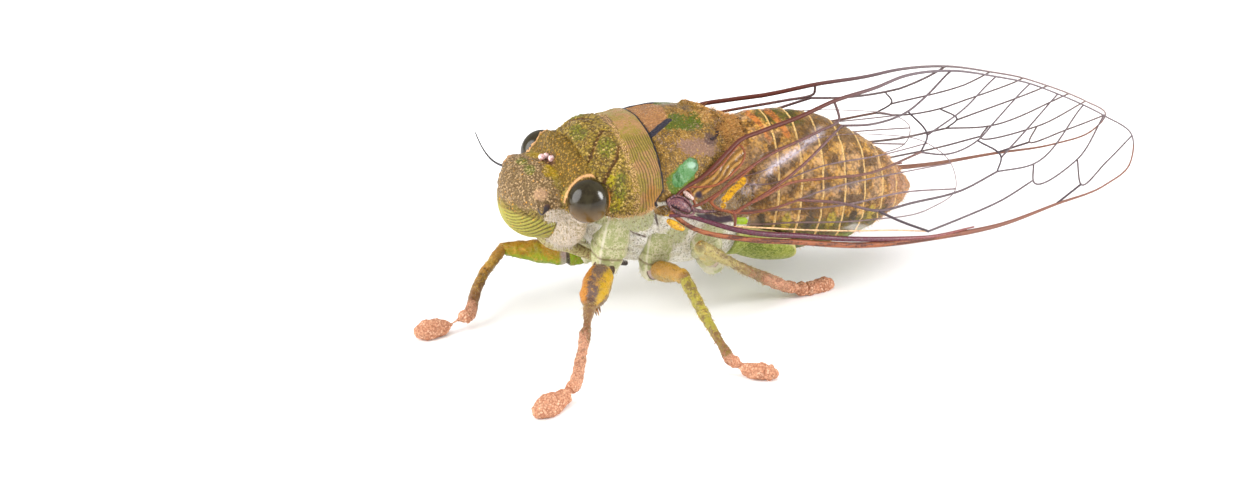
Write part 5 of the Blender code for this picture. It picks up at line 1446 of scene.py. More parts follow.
def film_sheet(outline, drop, columns, across):
    """Grid over the flat outline: for each u, v runs between the outline's two crossings;
    the columns crowd towards both ends, as a cosine."""
    low_u, high_u = outline[:, 0].min() + 0.02, outline[:, 0].max() - 0.02
    u = low_u + (high_u - low_u) * (1 - np.cos(np.linspace(0, math.pi, columns))) / 2
    ahead = np.roll(outline, -1, axis=0)
    lowest = np.full(columns, np.inf)
    highest = np.full(columns, -np.inf)
    for start, end in zip(outline, ahead):
        inside = (u >= min(start[0], end[0])) & (u <= max(start[0], end[0]))
        if start[0] != end[0]:
            v = start[1] + (end[1] - start[1]) * (u - start[0]) / (end[0] - start[0])
            lowest = np.where(inside, np.minimum(lowest, v), lowest)
            highest = np.where(inside, np.maximum(highest, v), highest)
    t = np.linspace(0, 1, across)
    flat = np.stack([np.broadcast_to(u[:, None], (columns, across)),
                     lowest[:, None] + (highest - lowest)[:, None] * t], axis=-1)
    return flat, wing_surface(flat, -drop)


def film_finish():
    """Clear wing film: nearly see-through, tinged beige towards its edges and tip, with golden,
    dusky and yellow cells at its root and a painted milky sheen: whitish colour and opacity
    laid along two streaks where the film would mirror the lights."""
    finish = Finish("wing_film_finish", 0.2)
    fine, tiny = finish.fine, finish.tiny
    streak = finish.noise(1.4, 3.0, 0.6, (1.0, 0.3, 1.0))
    ripple = finish.noise(0.7, 3.0, 0.5)
    edge, gold = finish.mask("edge"), finish.mask("gold")
    wrinkle, dusk = finish.mask("wrinkle"), finish.mask("dusk")
    lemon, lime = finish.mask("lemon"), finish.mask("lime")
    haze, white = finish.mask("haze"), finish.mask("white")
    finish.colour = finish.blend((150, 124, 98), (186, 140, 114), edge.smooth(0.1, 0.9))
    # Painted sheen: whitish-lilac along the haze streaks, as if the film mirrored the lights.
    finish.lay((236, 226, 238), haze)
    finish.lay((126, 88, 38), gold.smooth(0.2, 0.6))
    ridge = (wrinkle + (fine - 0.5) * 1.4).smooth(0.45, 0.9)
    finish.lay((186, 140, 74), ridge * gold * 0.7)
    finish.lay((70, 44, 36), (wrinkle * -1.0 + (fine - 0.5) * 1.4 + 0.5).smooth(0.25, 0.6) * gold * 0.85)
    finish.lay((206, 198, 190), white)
    finish.lay((52, 40, 48), dusk)
    finish.lay(finish.blend((196, 144, 22), (112, 76, 30), (fine * 0.6 + tiny * 0.4).smooth(0.46, 0.6)),
               (lemon + (fine - 0.5) * 0.9).smooth(0.3, 0.7))
    finish.lay((128, 150, 22), lime.smooth(0.3, 0.7))
    # Painted sheen: the streaks made more opaque so that the painted white shows.
    sheen_amount = haze * (streak * 0.5 + fine * 0.5).smooth(0.42, 0.62) * 0.4
    opacity = streak.smooth(0.45, 0.75) * 0.03 + edge * 0.12 + settings().film_opacity
    opacity = opacity + sheen_amount + gold * 0.72 + dusk * 0.9 + lemon * 0.85 + lime * 0.8 + white * 0.3
    normal = finish.bump(ripple + wrinkle * gold * 0.4, 0.2, 0.5)
    return finish.surface(Roughness=ripple * 0.1 + 0.16, Alpha=opacity.clamped(), Normal=normal,
                          Specular_IOR_Level=0.3, Coat_Weight=0.0)


VEIN_TINTS = {
    "cell": ((116, 60, 42), (98, 84, 88)),
    "amber": ((140, 76, 44), (112, 80, 74)),
    "dark": ((66, 42, 40), (70, 58, 66)),
    "pale": ((226, 184, 132), (222, 180, 140)),
    "haze": ((100, 66, 54), (134, 114, 118)),
}


def vein_finish(name, root_tint, tip_tint):
    """Vein: warm near the wing's root and dusky towards its tip, darker in patches."""
    finish = Finish(name, 0.14)
    fine = finish.fine
    finish.colour = finish.blend(root_tint, tip_tint, finish.frayed("outward", 0.2).smooth(0.12, 0.5))
    finish.lay((46, 24, 20), fine.smooth(0.46, 0.6) * 0.55)
    return finish.surface(Roughness=fine * 0.25 + 0.26, Normal=finish.bump(fine, 0.03),
                          Specular_IOR_Level=0.3)


def edge_finish():
    """Rim of the wing: tan costa streaked along it, dark red-brown on the rear margin and grey
    towards the tip."""
    finish = Finish("edge_vein_finish", 0.14)
    fine = finish.fine
    streak = finish.noise(0.3, 3.0, 0.6, (1.0, 0.12, 1.0))
    finish.colour = finish.blend((150, 88, 56), (80, 44, 34), (fine * 0.4 + streak * 0.6).smooth(0.44, 0.58))
    finish.lay((122, 80, 66), finish.mask("outward").smooth(0.45, 0.7))
    finish.lay((86, 40, 30), finish.mask("rear").smooth(0.3, 0.7))
    finish.lay((108, 96, 100), (finish.mask("rear") * finish.mask("outward")).smooth(0.3, 0.6))
    return finish.surface(Roughness=fine * 0.25 + 0.3, Normal=finish.bump(fine, 0.03),
                          Specular_IOR_Level=0.3)


def strong_finish():
    """Strong vein beside the costa: glossy maroon with rosy flecks that are painted highlights."""
    finish = Finish("strong_vein_finish", 0.14)
    fine = finish.fine
    finish.colour = finish.blend((92, 32, 54), (62, 24, 34), fine.smooth(0.42, 0.58))
    # Painted highlights: rosy flecks on the maroon.
    finish.lay((176, 116, 132), (finish.tiny * 0.6 + fine * 0.4).smooth(0.58, 0.66) * 0.7)
    finish.lay((126, 64, 60), finish.mask("outward").smooth(0.35, 0.6))
    return finish.surface(Roughness=fine * 0.2 + 0.18, Normal=finish.bump(fine, 0.03),
                          Specular_IOR_Level=0.5)


def vein_shape(line, widths, drop, side):
    """One vein: a round profile carried along a flat line bent onto the wing, with a mask for
    how far each ring lies on the rear margin."""
    flat = curve_through(line, 0.25)
    path = wing_surface(flat, -drop)
    share = np.linspace(0, 1, len(path))
    rings, poles = sweep(path, np.interp(share, np.linspace(0, 1, len(widths)), widths), 10)
    rear = smoothstep(-0.3, 0.5, flat[:, 1] + 0.09 * np.maximum(flat[:, 0] - 34.0, 0))
    ends = (len(rings) - len(path)) // 2
    rear = np.concatenate([np.repeat(rear[:1], ends), rear, np.repeat(rear[-1:], ends)])
    points, faces = shell(mirrored(rings, side), mirrored(poles, side))
    return points, faces, with_poles(np.repeat(rear, rings.shape[1]))


def wing_masks(flat, outline):
    """Masks of the film's tinted cells and of its painted sheen, on its flat grid."""
    u, v = flat[..., 0], flat[..., 1]
    near_edge = near(flat, np.concatenate([outline, outline[:1]]), 1.1)
    tip = smoothstep(18.0, 38.0, u)
    gold = np.maximum(cell_area(flat, GOLD_CELL), 0.35 * cell_area(flat, AMBER_CELL))
    across = 0.8 * v - 0.6 * u + 0.12 * np.sin(u * 2.1) + 0.03 * np.sin(v * 4.3 + u * 1.7)
    # haze: streaks of painted whitish sheen.
    haze = np.maximum(near(flat, SHEEN_LINES[0], 0.4), 0.5 * near(flat, SHEEN_LINES[1], 0.3))
    lemon = smoothstep(0.34, 0.2, distance_to_line(flat, LEMON_LINE) * (1 + 0.12 * np.cos(u * 6)))
    lemon = np.maximum(lemon, smoothstep(0.3, 0.15, np.hypot(u - 4.0, v + 0.6)))
    slate = (smoothstep(0.42, 0.15, np.hypot(u - 2.35, v - 0.45))
             + smoothstep(0.5, 0.2, np.hypot((u - 5.95) * 0.7, v + 2.05)) * 0.4)
    return {
        "edge": np.clip(near_edge * (0.1 + 0.9 * tip) + 0.25 * tip, 0, 1),
        "gold": gold,
        "wrinkle": 0.5 + 0.5 * np.cos(2 * math.pi * across / WRINKLE_SPACING),
        "dusk": np.clip(np.maximum(cell_area(flat, DUSK_CELL), slate), 0, 1),
        "lemon": lemon,
        "lime": smoothstep(0.34, 0.22, distance_to_line(flat, LIME_LINE)),
        "haze": haze,
        "white": np.clip(0.3 * cell_area(flat, WHITE_CELL) + cell_area(flat, PALE_CELL), 0, 1),
    }


def wing_pieces():
    """Four wings: a film and the veins that stand out on both its faces."""
    film = film_finish()
    tints = {tint: vein_finish(f"{tint}_vein_finish", *colours) for tint, colours in VEIN_TINTS.items()}
    tints["edge"] = edge_finish()
    strong = strong_finish()
    thick = settings().vein_thickness
    for side, word in SIDES:
        for kind, wing_frame, veins, drop in (("fore", FORE_FRAME, FORE_VEINS, 0.0),
                                              ("hind", HIND_FRAME, HIND_VEINS, HINDWING_DROP)):
            outline, rim = wing_outline(wing_frame)
            columns, across = (420, 100) if kind == "fore" else (150, 40)
            flat, sheet = film_sheet(outline, drop, rows_of(columns), rows_of(across))
            masks = wing_masks(flat, outline)
            if kind == "hind":
                masks = {name: values if name == "edge" else values * 0 for name, values in masks.items()}
            add_piece(f"film_{kind}wing_{word}", place(mirrored(sheet, side)).reshape(-1, 3),
                      [grid_faces(*flat.shape[:2], closed=False)], film,
                      [f"{kind}wing_{word}"], masks)
            groups = {}
            for wide, narrow, tint, line in veins:
                vein = vein_shape(line, (wide * thick, narrow * thick), drop, side)
                groups.setdefault(tint, []).append(vein)
            closed = np.concatenate([rim, rim[:3]])
            groups["edge"] = [vein_shape(closed, np.array(EDGE_WIDTHS[kind]) * thick, drop, side)]
            for tint, shapes in groups.items():
                look = tints["haze"] if kind == "hind" else tints[tint]
                add_vein(f"veins_{kind}wing_{tint}_{word}", shapes, look)
        ridge = vein_shape(STRONG_VEIN, np.array(STRONG_WIDTHS) * thick, -STRONG_LIFT, side)
        add_vein(f"veins_forewing_strong_{word}", [ridge], strong)
        wing_root_pieces(side, word)


def add_vein(name, shapes, finish):
    """Vein piece with a mask that grows from the wing's root to its tip."""
    points, faces = join([shape[:2] for shape in shapes])
    outward = np.clip((points[:, 1] - WING_ROOT[1]) / WING_REACH, 0, 1)
    rear = np.concatenate([shape[2] for shape in shapes])
    add_piece(name, place(points), faces, finish, (), {"outward": outward, "rear": rear})


ROOT_LOOP = ((-0.2, 0.4), (0.4, 0.62), (1.0, 0.4), (1.5, -0.2), (1.6, -0.85), (1.2, -0.95), (0.4, -0.62),
             (-0.15, -0.1), (-0.2, 0.4))


def wing_root_pieces(side, word):
    """Hinge plates of the forewing: a dark rim round a glossy swelling, a pearly knuckle before
    the golden cell, and a yellow pad under the costa."""
    dark = chitin(f"hinge_finish_{word}", (48, 24, 36), (92, 52, 66), (168, 120, 104), (), 0.12, (0.15, 0.4),
                  0.04)
    pearl = chitin(f"knuckle_finish_{word}", (140, 104, 92), (190, 158, 148), (240, 226, 216), (), 0.1,
                   (0.15, 0.3), 0.02)
    yellow = chitin(f"pad_finish_{word}", (130, 84, 10), (190, 140, 14), (226, 180, 40), (), 0.12,
                    (0.3, 0.5), 0.03)
    plans = (
        ("hinge_rim", ROOT_LOOP, (0.09, 0.11, 0.1, 0.12, 0.09), 0.22, dark),
        ("hinge_plate", ((0.0, 0.25), (0.6, 0.05), (1.25, -0.5)), (0.3, 0.5, 0.46, 0.3), 0.06, dark),
        ("hinge_bar", ((1.5, -0.5), (2.2, -0.75), (3.2, -0.9)), (0.16, 0.14, 0.1), 0.1, dark),
        ("knuckle", ((1.25, 0.75), (1.45, 0.5), (1.7, 0.25)), (0.14, 0.22, 0.14), 0.2, pearl),
        ("root_pad", ((-0.3, -1.1), (0.2, -1.5), (0.6, -1.75)), (0.2, 0.32, 0.2), -0.05, yellow),
    )
    for label, line, widths, lift, finish in plans:
        points, faces, _ = vein_shape(line, widths, -lift, side)
        add_piece(f"{label}_{word}", place(points), faces, finish)


FEMUR_PROFILE = {
    "fore_left": ((0.0, 0.62), (0.06, 0.8), (0.12, 0.76), (0.15, 0.5), (0.19, 0.58), (0.27, 0.84),
                  (0.4, 0.98), (0.7, 1.0), (0.86, 0.9), (0.95, 0.66), (1.0, 0.48)),
    "fore_right": ((0.0, 0.75), (0.1, 1.0), (0.2, 1.02), (0.245, 0.86), (0.29, 0.98), (0.42, 0.96),
                   (0.6, 0.84), (0.8, 0.66), (0.93, 0.52), (1.0, 0.42)),
    "mid": ((0.0, 0.55), (0.07, 0.72), (0.14, 0.68), (0.18, 0.52), (0.25, 0.68), (0.5, 0.72), (0.75, 0.6),
            (0.87, 0.5), (0.94, 0.56), (1.0, 0.42)),
    "hind": ((0.0, 0.5), (0.07, 0.64), (0.14, 0.58), (0.18, 0.48), (0.26, 0.6), (0.5, 0.64), (0.8, 0.54),
             (0.93, 0.52), (1.0, 0.4)),
}
TIBIA_PROFILE = {
    "fore_left": ((0.0, 0.42), (0.06, 0.44), (0.12, 0.36), (0.3, 0.3), (0.34, 0.36), (0.5, 0.4),
                  (0.56, 0.34), (0.75, 0.42), (0.82, 0.38), (0.92, 0.46), (1.0, 0.44)),
    "fore_right": ((0.0, 0.36), (0.08, 0.42), (0.3, 0.37), (0.6, 0.38), (0.8, 0.4), (0.93, 0.46),
                   (1.0, 0.44)),
    "mid": ((0.0, 0.34), (0.07, 0.46), (0.2, 0.42), (0.5, 0.38), (0.7, 0.33), (0.85, 0.34), (0.95, 0.44),
            (1.0, 0.42)),
    "hind": ((0.0, 0.36), (0.07, 0.44), (0.3, 0.38), (0.45, 0.34), (0.52, 0.4), (0.66, 0.38), (0.72, 0.44),
             (0.9, 0.42), (1.0, 0.36)),
}
LEG_TINTS = {
    "fore_left": {"front": (168, 106, 22), "top": (96, 76, 68), "rear": (172, 136, 18), "low": (102, 78, 46),
                  "ring": (212, 166, 24), "shin": (128, 98, 44)},
    "fore_right": {"front": (132, 124, 0), "top": (144, 104, 0), "rear": (134, 100, 4), "low": (124, 142, 0),
                   "ring": (118, 138, 4), "shin": (158, 112, 34)},
    "mid": {"front": (166, 126, 64), "top": (166, 126, 50), "rear": (150, 118, 20), "low": (152, 126, 66),
            "ring": (190, 180, 104), "shin": (144, 134, 34)},
    "hind": {"front": (178, 158, 100), "top": (196, 140, 40), "rear": (170, 160, 100),
             "low": (176, 170, 112), "ring": (190, 190, 130), "shin": (160, 146, 84)},
}


def lumpy(rings, size, height, seed):
    """Rings pushed in and out along their normals by rough noise."""
    return rings + (height * rough_noise(rings, size, seed, 3))[..., None] * grid_normals(rings)


def leg_segment(node, path, profile, finish, sides, relief):
    """One leg segment: a round profile along a path, its radius read from (share, radius)
    pairs, with masks along it, below it and towards its front. Relief is the size, height and
    seed of the noise on it."""
    share = np.linspace(0, 1, len(path))
    width = follow(*zip(*profile), share)
    rings, poles = sweep(path, width, sides)
    middle = rings.mean(axis=1, keepdims=True)
    offset = rings - middle
    length = np.linalg.norm(offset, axis=-1) + 1e-9
    rings = lumpy(rings, *relief)
    points, faces = shell(rings, poles)
    masks = {"along": along_mask(rings), "below": with_poles(-offset[..., 2] / length),
             "front": with_poles(-offset[..., 1] / length)}
    add_piece(f"shell_{node}", place_leg(points), faces, finish, [node], masks)
    return rings


def femur_finish(name, tints, ring_end):
    """Femur: ring at the body end in its own colour, then a dark gap, then stripes for the
    front, top, rear and underside."""
    finish = Finish(name)
    fine, tiny = finish.fine, finish.tiny
    streak = finish.noise(0.35, 3.0, 0.6, (0.4, 0.8, 0.9))
    front, below, along = finish.mask("front"), finish.mask("below"), finish.mask("along")
    wobble = (fine - 0.5) * 1.2 + (finish.coarse - 0.5) * 1.2
    finish.colour = finish.blend(tints["top"], tints["front"], (front + wobble).smooth(0.15, 0.5))
    finish.lay(tints["rear"], (front * -1.0 + wobble).smooth(0.3, 0.65))
    finish.lay(tints["low"], (below + wobble).smooth(-0.1, 0.35))
    finish.lay((204, 150, 56), (streak * 0.6 + tiny * 0.4).smooth(0.53, 0.63) * 0.6)
    finish.lay((90, 58, 28), (streak * -0.6 + fine * 0.4 + 0.6).smooth(0.56, 0.66) * 0.7)
    ringed = (along + (fine - 0.5) * 0.05).smooth(ring_end, ring_end - 0.02)
    ring = finish.blend(tints["ring"], (150, 106, 30), (streak * 0.6 + fine * 0.4).smooth(0.5, 0.6) * 0.5)
    finish.lay(ring, ringed)
    gap = along.smooth(ring_end - 0.01, ring_end) * along.smooth(ring_end + 0.05, ring_end + 0.03)
    finish.lay((48, 34, 36), gap * 0.9)
    cuff = along.smooth(ring_end + 0.03, ring_end + 0.05) * along.smooth(ring_end + 0.12, ring_end + 0.07)
    finish.lay((196, 176, 184), cuff * (fine + 0.1).clamped())
    under = (below + (fine - 0.5) * 0.3).smooth(0.86, 0.97) * (1.0 - ringed)
    finish.lay((84, 50, 20), under * 0.8)
    finish.lay((84, 56, 36), along.smooth(0.93, 1.0) * 0.7)
    shine = finish.shine(0.2, 0.22)
    normal = finish.bump(fine + tiny * 0.6 + streak, 0.08, 0.8)
    return finish.surface(Roughness=shine, Normal=normal, Specular_IOR_Level=0.28)


def shin_finish(name, shin, mud_from):
    """Shin: streaked shell that turns to crusted mud along it."""
    finish = Finish(name)
    fine, tiny = finish.fine, finish.tiny
    streak = finish.noise(0.3, 3.0, 0.6, (0.6, 0.3, 0.6))
    finish.colour = finish.blend(shin, (92, 64, 22), (streak * 0.6 + fine * 0.4).smooth(0.46, 0.56) * 0.85)
    finish.lay((214, 184, 84), (finish.coarse * 0.4 + tiny * 0.6).smooth(0.53, 0.63) * 0.6)
    dusk = finish.frayed("along", 0.6).smooth(mud_from - 0.3, mud_from - 0.1)
    finish.lay((112, 72, 40), dusk * 0.7)
    mud = (finish.frayed("along", 0.9) + (finish.coarse - 0.5) * 0.8).smooth(mud_from - 0.05,
                                                                             mud_from + 0.12)
    clay = finish.blend(chosen("mud_colour"), (160, 104, 74), (tiny * 0.4 + fine * 0.6).smooth(0.46, 0.57))
    clay = finish.blend(clay, (112, 72, 52), (streak * 0.6 + finish.coarse * 0.4).smooth(0.52, 0.62) * 0.6)
    clay = finish.blend(clay, (92, 64, 52), finish.cells(0.3, "DISTANCE_TO_EDGE").smooth(0.06, 0.0) * 0.5)
    finish.lay(clay, mud)
    shine = finish.shine(0.2, 0.26) + mud * 0.4
    normal = finish.bump(fine * (mud + 0.8) + tiny * 0.6, 0.09, 0.9)
    return finish.surface(Roughness=shine, Normal=normal, Specular_IOR_Level=0.5)


def mud_finish():
    """Dried clay: matt, cracked and grainy, with painted highlights on the tops of some grains
    and painted shade in the gaps between them.
    """
    finish = Finish("dried_mud_finish", 0.14)
    fine, tiny, coarse = finish.fine, finish.tiny, finish.coarse
    crack = finish.cells(0.55, "DISTANCE_TO_EDGE").smooth(0.0, 0.06)
    apart, pick = finish.flakes(0.16)
    finish.colour = finish.blend(chosen("mud_colour"), (196, 136, 104),
                                 (coarse * 0.5 + fine * 0.5).smooth(0.46, 0.58))
    # Painted highlights: pale tops on some of the grains.
    finish.lay((240, 198, 168), pick.smooth(0.55, 0.8) * (0.6 - apart).smooth(0.0, 0.3) * 0.7)
    # Painted shade: darker clay in the gaps between the grains.
    finish.lay((150, 96, 72), (apart.smooth(0.4, 0.6) * (fine + 0.2)).smooth(0.45, 0.75) * 0.7)
    finish.colour = finish.blend((128, 78, 58), finish.colour, crack * 0.3 + 0.7)
    height = fine + (0.6 - apart).smooth(0.0, 0.4) * 0.6 + crack * 0.3
    return finish.surface(Roughness=tiny * 0.15 + 0.8, Normal=finish.bump(height, 0.08, 0.85),
                          Specular_IOR_Level=0.2)


def thorns(name, roots, directions, lengths, radius, finish):
    """Stout tapered spines as one piece."""
    directions = np.asarray(directions, float)
    lengths = np.broadcast_to(np.asarray(lengths, float), len(roots))
    points, faces = bristles(np.asarray(roots, float), directions, lengths, radius, 0.0)
    add_piece(name, place_leg(points), faces, finish)


MUD_FROM = {"fore_left": 0.3, "fore_right": 0.8, "mid": 0.85, "hind": 0.62}


def leg_tints(name, table):
    """Entry for a leg by its full name, or else by its pair."""
    return table.get(name, table.get(name.split("_")[0]))


def bowed(start, end, bow, step):
    """Points on a smooth bend between two joints, through their middle moved by bow."""
    middle = (np.asarray(start) + np.asarray(end)) / 2 + np.asarray(bow)
    return curve_through([start, middle, end], step)


def leg_pieces():
    """Six legs: coxa, femur with its ring at the body end, tibia, spines, hairs, and a foot
    caked in mud."""
    pale = coxa_finish()
    spine_shell = chitin("spine_finish", (84, 52, 28), (160, 104, 48), (206, 150, 80), (), 0.1)
    down = hair_finish("leg_hair_finish", (186, 166, 110), (236, 222, 184))
    mud = mud_finish()
    for name, joints in LEGS.items():
        kind = name.split("_")[0]
        hip, socket, knee, ankle, toe = (np.asarray(joint, float) for joint in joints)
        tints = leg_tints(name, LEG_TINTS)
        femur_shell = femur_finish(f"femur_{name}_finish", tints, RING_END.get(name, PLAIN_RING_END))
        shin_shell = shin_finish(f"tibia_{name}_finish", tints["shin"], leg_tints(name, MUD_FROM))
        coxa = coxa_piece(name, kind, hip, socket, pale)
        thigh_path = bowed(socket, knee, FEMUR_BOW.get(name, PLAIN_FEMUR_BOW), LEG_STEP)
        thigh = leg_segment(f"femur_{name}", thigh_path, leg_tints(name, FEMUR_PROFILE), femur_shell, 60,
                            (0.5, 0.06, 63))
        shin_path = bowed(knee, ankle, TIBIA_BOW.get(name, PLAIN_TIBIA_BOW), LEG_STEP)
        shin = leg_segment(f"tibia_{name}", shin_path, leg_tints(name, TIBIA_PROFILE), shin_shell, 44,
                           (0.3, 0.06, 65))
        run = (knee - socket) / np.linalg.norm(knee - socket)
        if kind == "fore":
            shares = np.array(SPINE_SHARES)
            depth = np.interp(shares, *zip(*leg_tints(name, FEMUR_PROFILE)))[:, None] * 0.93
            down_out = np.array(SPINE_WAY[name]) / np.linalg.norm(SPINE_WAY[name])
            at = socket + (knee - socket) * shares[:, None] + down_out * depth
            ways = np.tile(down_out + 0.5 * run, (len(shares), 1))
            thorns(f"spines_{name}", at, ways, SPINE_LENGTHS[name], 0.1, spine_shell)
        else:
            along = shin_path[np.linspace(len(shin_path) * 0.35, len(shin_path) * 0.92, 8).astype(int)]
            aside = np.cross(run, [0, 0, 1.0]) * np.where(np.arange(8) % 2, 1, -1)[:, None]
            ahead = (ankle - knee) / np.linalg.norm(ankle - knee)
            thorns(f"spines_{name}", along + aside * 0.25, aside + 0.6 * ahead, 0.36, 0.06, spine_shell)
        cloth = smoothstep(1.0, 0.55, np.linspace(0, 1, len(shin)))[:, None] + 0.1
        hairs(f"hair_tibia_{name}", shin, cloth, 600 if kind == "hind" else 200, 0.34, (ankle - knee) * 0.12,
              down, 51, 0.012, place_leg)
        hairs(f"hair_femur_{name}", thigh, 1.0, 160, 0.24, (knee - socket) * 0.15, down, 52,
              0.01, place_leg)
        hairs(f"hair_coxa_{name}", coxa, 1.0, 260, 0.24, (0, 0, -0.7), down, 53, 0.01,
              place_leg)
        add_foot(name, ankle, toe, mud)


def coxa_piece(name, kind, hip, socket, finish):
    """Hip joint of a leg: a barrel of squarish section, its top sunk into the flank, with pale
    rims along its corners and round its lower end."""
    rise = (hip - socket) / np.linalg.norm(hip - socket)
    path = bowed(hip + rise * 0.7, socket, (0, 0, 0), 0.1)
    share = np.linspace(0, 1, len(path))
    width = follow(np.linspace(0, 1, len(COXA_RADII[kind])), COXA_RADII[kind], share)
    rings, poles = sweep(path, width, 72)
    middle = rings.mean(axis=1, keepdims=True)
    offset = rings - middle
    length = np.linalg.norm(offset, axis=-1, keepdims=True) + 1e-9
    aside = np.abs(offset[..., :1]) / length
    ahead = np.abs(offset[..., 1:2]) / length
    square = (aside**5 + ahead**5 + 0.02) ** (-1 / 5)
    rings = middle + offset * np.clip(square, 0.9, 1.17)
    spread = np.linspace(0, 1, len(rings))
    fold = bell(spread - 0.72, 0.035) + 0.7 * bell(spread - 0.5, 0.03)
    rings = middle + (rings - middle) * (1 - 0.07 * fold)[:, None, None]
    rings = lumpy(rings, 0.7, 0.06, 61)
    points, faces = shell(rings, poles)
    corner = bell(aside[..., 0] - ahead[..., 0], 0.16)
    rim = np.clip(corner * 0.9 + (0.8 * bell(spread - 0.93, 0.05))[:, None], 0, 1)
    seam = np.repeat(fold[:, None], rings.shape[1], axis=1)
    add_piece(f"shell_coxa_{name}", place_leg(points), faces, finish, [f"coxa_{name}"],
              {"rim": with_poles(rim), "seam": with_poles(np.clip(seam, 0, 1))})
    return rings


def coxa_finish():
    """Mint shell of the hip joints, powdered white, with pale corners and dark seams."""
    finish = Finish("coxa_finish", 0.15)
    fine, tiny = finish.fine, finish.tiny
    patchy = finish.noise(0.5, 3.0)
    finish.colour = finish.blend((160, 164, 106), (204, 198, 160),
                                 (patchy * 0.6 + tiny * 0.4).smooth(0.44, 0.56))
    finish.lay((126, 140, 56), (fine * 0.7 + patchy * 0.3).smooth(0.52, 0.62) * 0.8)
    finish.lay((98, 92, 44), (tiny * 0.6 + fine * 0.4).smooth(0.58, 0.66) * 0.7)
    finish.lay((222, 214, 194), finish.frayed("rim", 1.0).smooth(0.45, 0.8) * 0.6)
    finish.lay((112, 92, 56), finish.frayed("seam", 0.6).smooth(0.4, 0.8) * 0.7)
    normal = finish.bump(fine + tiny * 0.6, 0.08, 0.8)
    return finish.surface(Roughness=fine * 0.3 + 0.32, Normal=normal, Specular_IOR_Level=0.5)


CLUB_PROFILE = {
    "fore_left": ((0.0, 0.4), (0.09, 0.48), (0.16, 0.42), (0.2, 0.34), (0.27, 0.5), (0.36, 0.62),
                  (0.41, 0.58), (0.55, 0.72), (0.75, 0.84), (0.9, 0.82), (1.0, 0.6)),
    "fore_right": ((0.0, 0.42), (0.08, 0.5), (0.15, 0.38), (0.2, 0.2), (0.4, 0.2), (0.48, 0.42), (0.6, 0.62),
                   (0.78, 0.76), (0.92, 0.76), (1.0, 0.56)),
    "mid": ((0.0, 0.38), (0.1, 0.44), (0.18, 0.32), (0.24, 0.24), (0.31, 0.4), (0.45, 0.54), (0.65, 0.62),
            (0.8, 0.58), (0.86, 0.5), (0.93, 0.6), (1.0, 0.42)),
    "hind": ((0.0, 0.42), (0.1, 0.46), (0.17, 0.42), (0.2, 0.34), (0.24, 0.44), (0.38, 0.5), (0.43, 0.4),
             (0.48, 0.5), (0.65, 0.52), (0.85, 0.56), (0.95, 0.52), (1.0, 0.4)),
}


def add_foot(name, ankle, toe, mud):
    """Foot caked in mud: a knob at the ankle, a thin link and a lumpy club that rests flat on
    the floor. The path drops from the ankle to the club's level."""
    share = np.linspace(0, 1, 130)
    path = ankle + (toe - ankle) * share[:, None]
    path[:, 2] = toe[2] + (ankle[2] - toe[2]) * (1 - smoothstep(0.0, 0.5, share))
    knots, widths = zip(*leg_tints(name, CLUB_PROFILE))
    radii = follow(knots, widths, share)
    rings, poles = sweep(path, radii, 72)
    seed = sum(ord(letter) for letter in name)
    rings = lumpy(rings, 0.6, 0.08, seed)
    rings = lumpy(rings, 0.17, 0.035, seed + 5)
    rings[..., 2] = np.maximum(rings[..., 2], -SHIFT[2])
    poles[:, 2] = np.maximum(poles[:, 2], -SHIFT[2])
    points, faces = shell(rings, poles)
    add_piece(f"mud_foot_{name}", place_leg(points), faces, mud, [f"foot_{name}"])


def camera_axes():
    """Unit axes of the camera: to its right, up, and back along its line of sight."""
    azimuth, elevation, roll = CAMERA_AZIMUTH, CAMERA_ELEVATION, CAMERA_ROLL
    back = np.array([math.sin(azimuth) * math.cos(elevation), -math.cos(azimuth) * math.cos(elevation),
                     math.sin(elevation)])
    level = np.array([math.cos(azimuth), math.sin(azimuth), 0.0])
    upright = np.cross(back, level)
    right = math.cos(roll) * level + math.sin(roll) * upright
    up = -math.sin(roll) * level + math.cos(roll) * upright
    return right, up, back


def softbox(name, direction, distance, size, watts, shape):
    """Area light that looks at the animal from a direction."""
    light = bpy.data.lights.new(name, "AREA")
    light.shape = shape
    light.size, light.size_y = size
    light.energy = watts
    lamp = bpy.data.objects.new(name, light)
    direction = Vector(direction).normalized()
    lamp.location = direction * distance
    lamp.rotation_euler = direction.to_track_quat("Z", "Y").to_euler()
    bpy.context.scene.collection.objects.link(lamp)
    return lamp


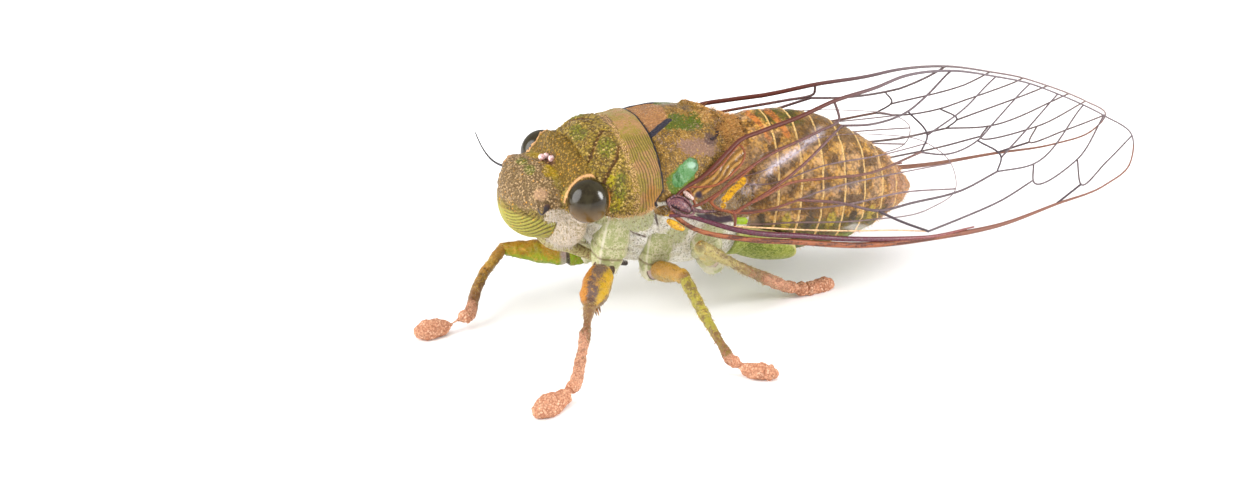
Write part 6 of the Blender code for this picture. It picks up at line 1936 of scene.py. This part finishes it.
def build_stage():
    """White floor, two oval softboxes at its sides, a broad light overhead, and the camera."""
    scene = bpy.context.scene
    right, up, back = camera_axes()
    camera = bpy.data.cameras.new("camera")
    camera.sensor_width = SENSOR_WIDTH
    camera.lens = CAMERA_LENS
    camera.clip_end = 20.0
    holder = bpy.data.objects.new("camera", camera)
    where = (np.asarray(CAMERA_TARGET) + back * CAMERA_DISTANCE + SHIFT) * MM
    holder.matrix_world = Matrix([[right[i], up[i], back[i], where[i]] for i in range(3)] + [[0, 0, 0, 1]])
    scene.collection.objects.link(holder)
    scene.camera = holder
    floor_mesh = bpy.data.meshes.new("floor")
    corners = [(x * FLOOR_HALF, y * FLOOR_HALF, 0) for x, y in ((-1, -1), (1, -1), (1, 1), (-1, 1))]
    floor_mesh.from_pydata(corners, [], [(0, 1, 2, 3)])
    paper = Finish("white_paper", 0.4)
    paper.colour = paper.blend((250, 250, 251), (252, 252, 252), paper.fine)
    floor_mesh.materials.append(paper.surface(Roughness=0.9, Specular_IOR_Level=0.1))
    floor = bpy.data.objects.new("floor", floor_mesh)
    scene.collection.objects.link(floor)
    for name, (to_right, to_top, to_back), size, watts in SIDE_LIGHTS:
        direction = to_right * right + to_top * up + to_back * back
        softbox(name, direction, SIDE_LIGHT_DISTANCE, size, watts, "ELLIPSE")
    overhead = softbox("softbox_top", (0.1, 0.1, 1.0), TOP_LIGHT_DISTANCE, (0.4, 0.4), TOP_LIGHT_WATTS,
                       "RECTANGLE")
    overhead.visible_glossy = False
    world = bpy.data.worlds.new("studio")
    world.use_nodes = True
    sky = world.node_tree.nodes["Background"]
    sky.inputs["Color"].default_value = (1.0, 1.0, 1.0, 1.0)
    sky.inputs["Strength"].default_value = SKY_STRENGTH
    scene.world = world
    scene.view_settings.view_transform = "Standard"


class CICADA_OT_head(bpy.types.Operator):
    """Build the head, its eyes, feelers and beak."""

    bl_idname = "cicada.head"
    bl_label = "Head"

    def execute(self, context):
        head_piece()
        eye_pieces()
        feeler_pieces()
        beak_piece()
        return {"FINISHED"}


class CICADA_OT_trunk(bpy.types.Operator):
    """Build the thorax plates, the abdomen and the drum covers."""

    bl_idname = "cicada.trunk"
    bl_label = "Thorax and Abdomen"

    def execute(self, context):
        shield_piece()
        thorax_piece()
        abdomen_piece()
        drum_cover_pieces()
        return {"FINISHED"}


class CICADA_OT_wings(bpy.types.Operator):
    """Build the film and veins of the four wings."""

    bl_idname = "cicada.wings"
    bl_label = "Wings"

    def execute(self, context):
        wing_pieces()
        return {"FINISHED"}


class CICADA_OT_legs(bpy.types.Operator):
    """Build the six legs and their mud-caked feet."""

    bl_idname = "cicada.legs"
    bl_label = "Legs"

    def execute(self, context):
        leg_pieces()
        return {"FINISHED"}


class CICADA_OT_stage(bpy.types.Operator):
    """Build the floor, the lights and the camera."""

    bl_idname = "cicada.stage"
    bl_label = "Stage"

    def execute(self, context):
        build_stage()
        return {"FINISHED"}


class CICADA_PT_panel(bpy.types.Panel):
    """Sidebar panel with the cicada's settings and builders."""

    bl_label = "Cicada"
    bl_idname = "CICADA_PT_panel"
    bl_space_type = "VIEW_3D"
    bl_region_type = "UI"
    bl_category = "Cicada"

    def draw(self, context):
        for setting in CicadaSettings.__annotations__:
            self.layout.prop(context.scene.cicada, setting)
        for builder in BUILDERS:
            self.layout.operator(builder.bl_idname)


BUILDERS = (CICADA_OT_stage, CICADA_OT_head, CICADA_OT_trunk, CICADA_OT_wings, CICADA_OT_legs)
CLASSES = (CicadaSettings, *BUILDERS, CICADA_PT_panel)


def register():
    """Registers every class and hangs the settings on the scene."""
    for made in CLASSES:
        bpy.utils.register_class(made)
    bpy.types.Scene.cicada = PointerProperty(type=CicadaSettings)


def unregister():
    """Takes the settings and every class away again."""
    del bpy.types.Scene.cicada
    for made in reversed(CLASSES):
        bpy.utils.unregister_class(made)


def main():
    """Builds the stage and every piece."""
    register()
    for builder in BUILDERS:
        area, call = builder.bl_idname.split(".")
        getattr(getattr(bpy.ops, area), call)()


if __name__ == "__main__":
    main()
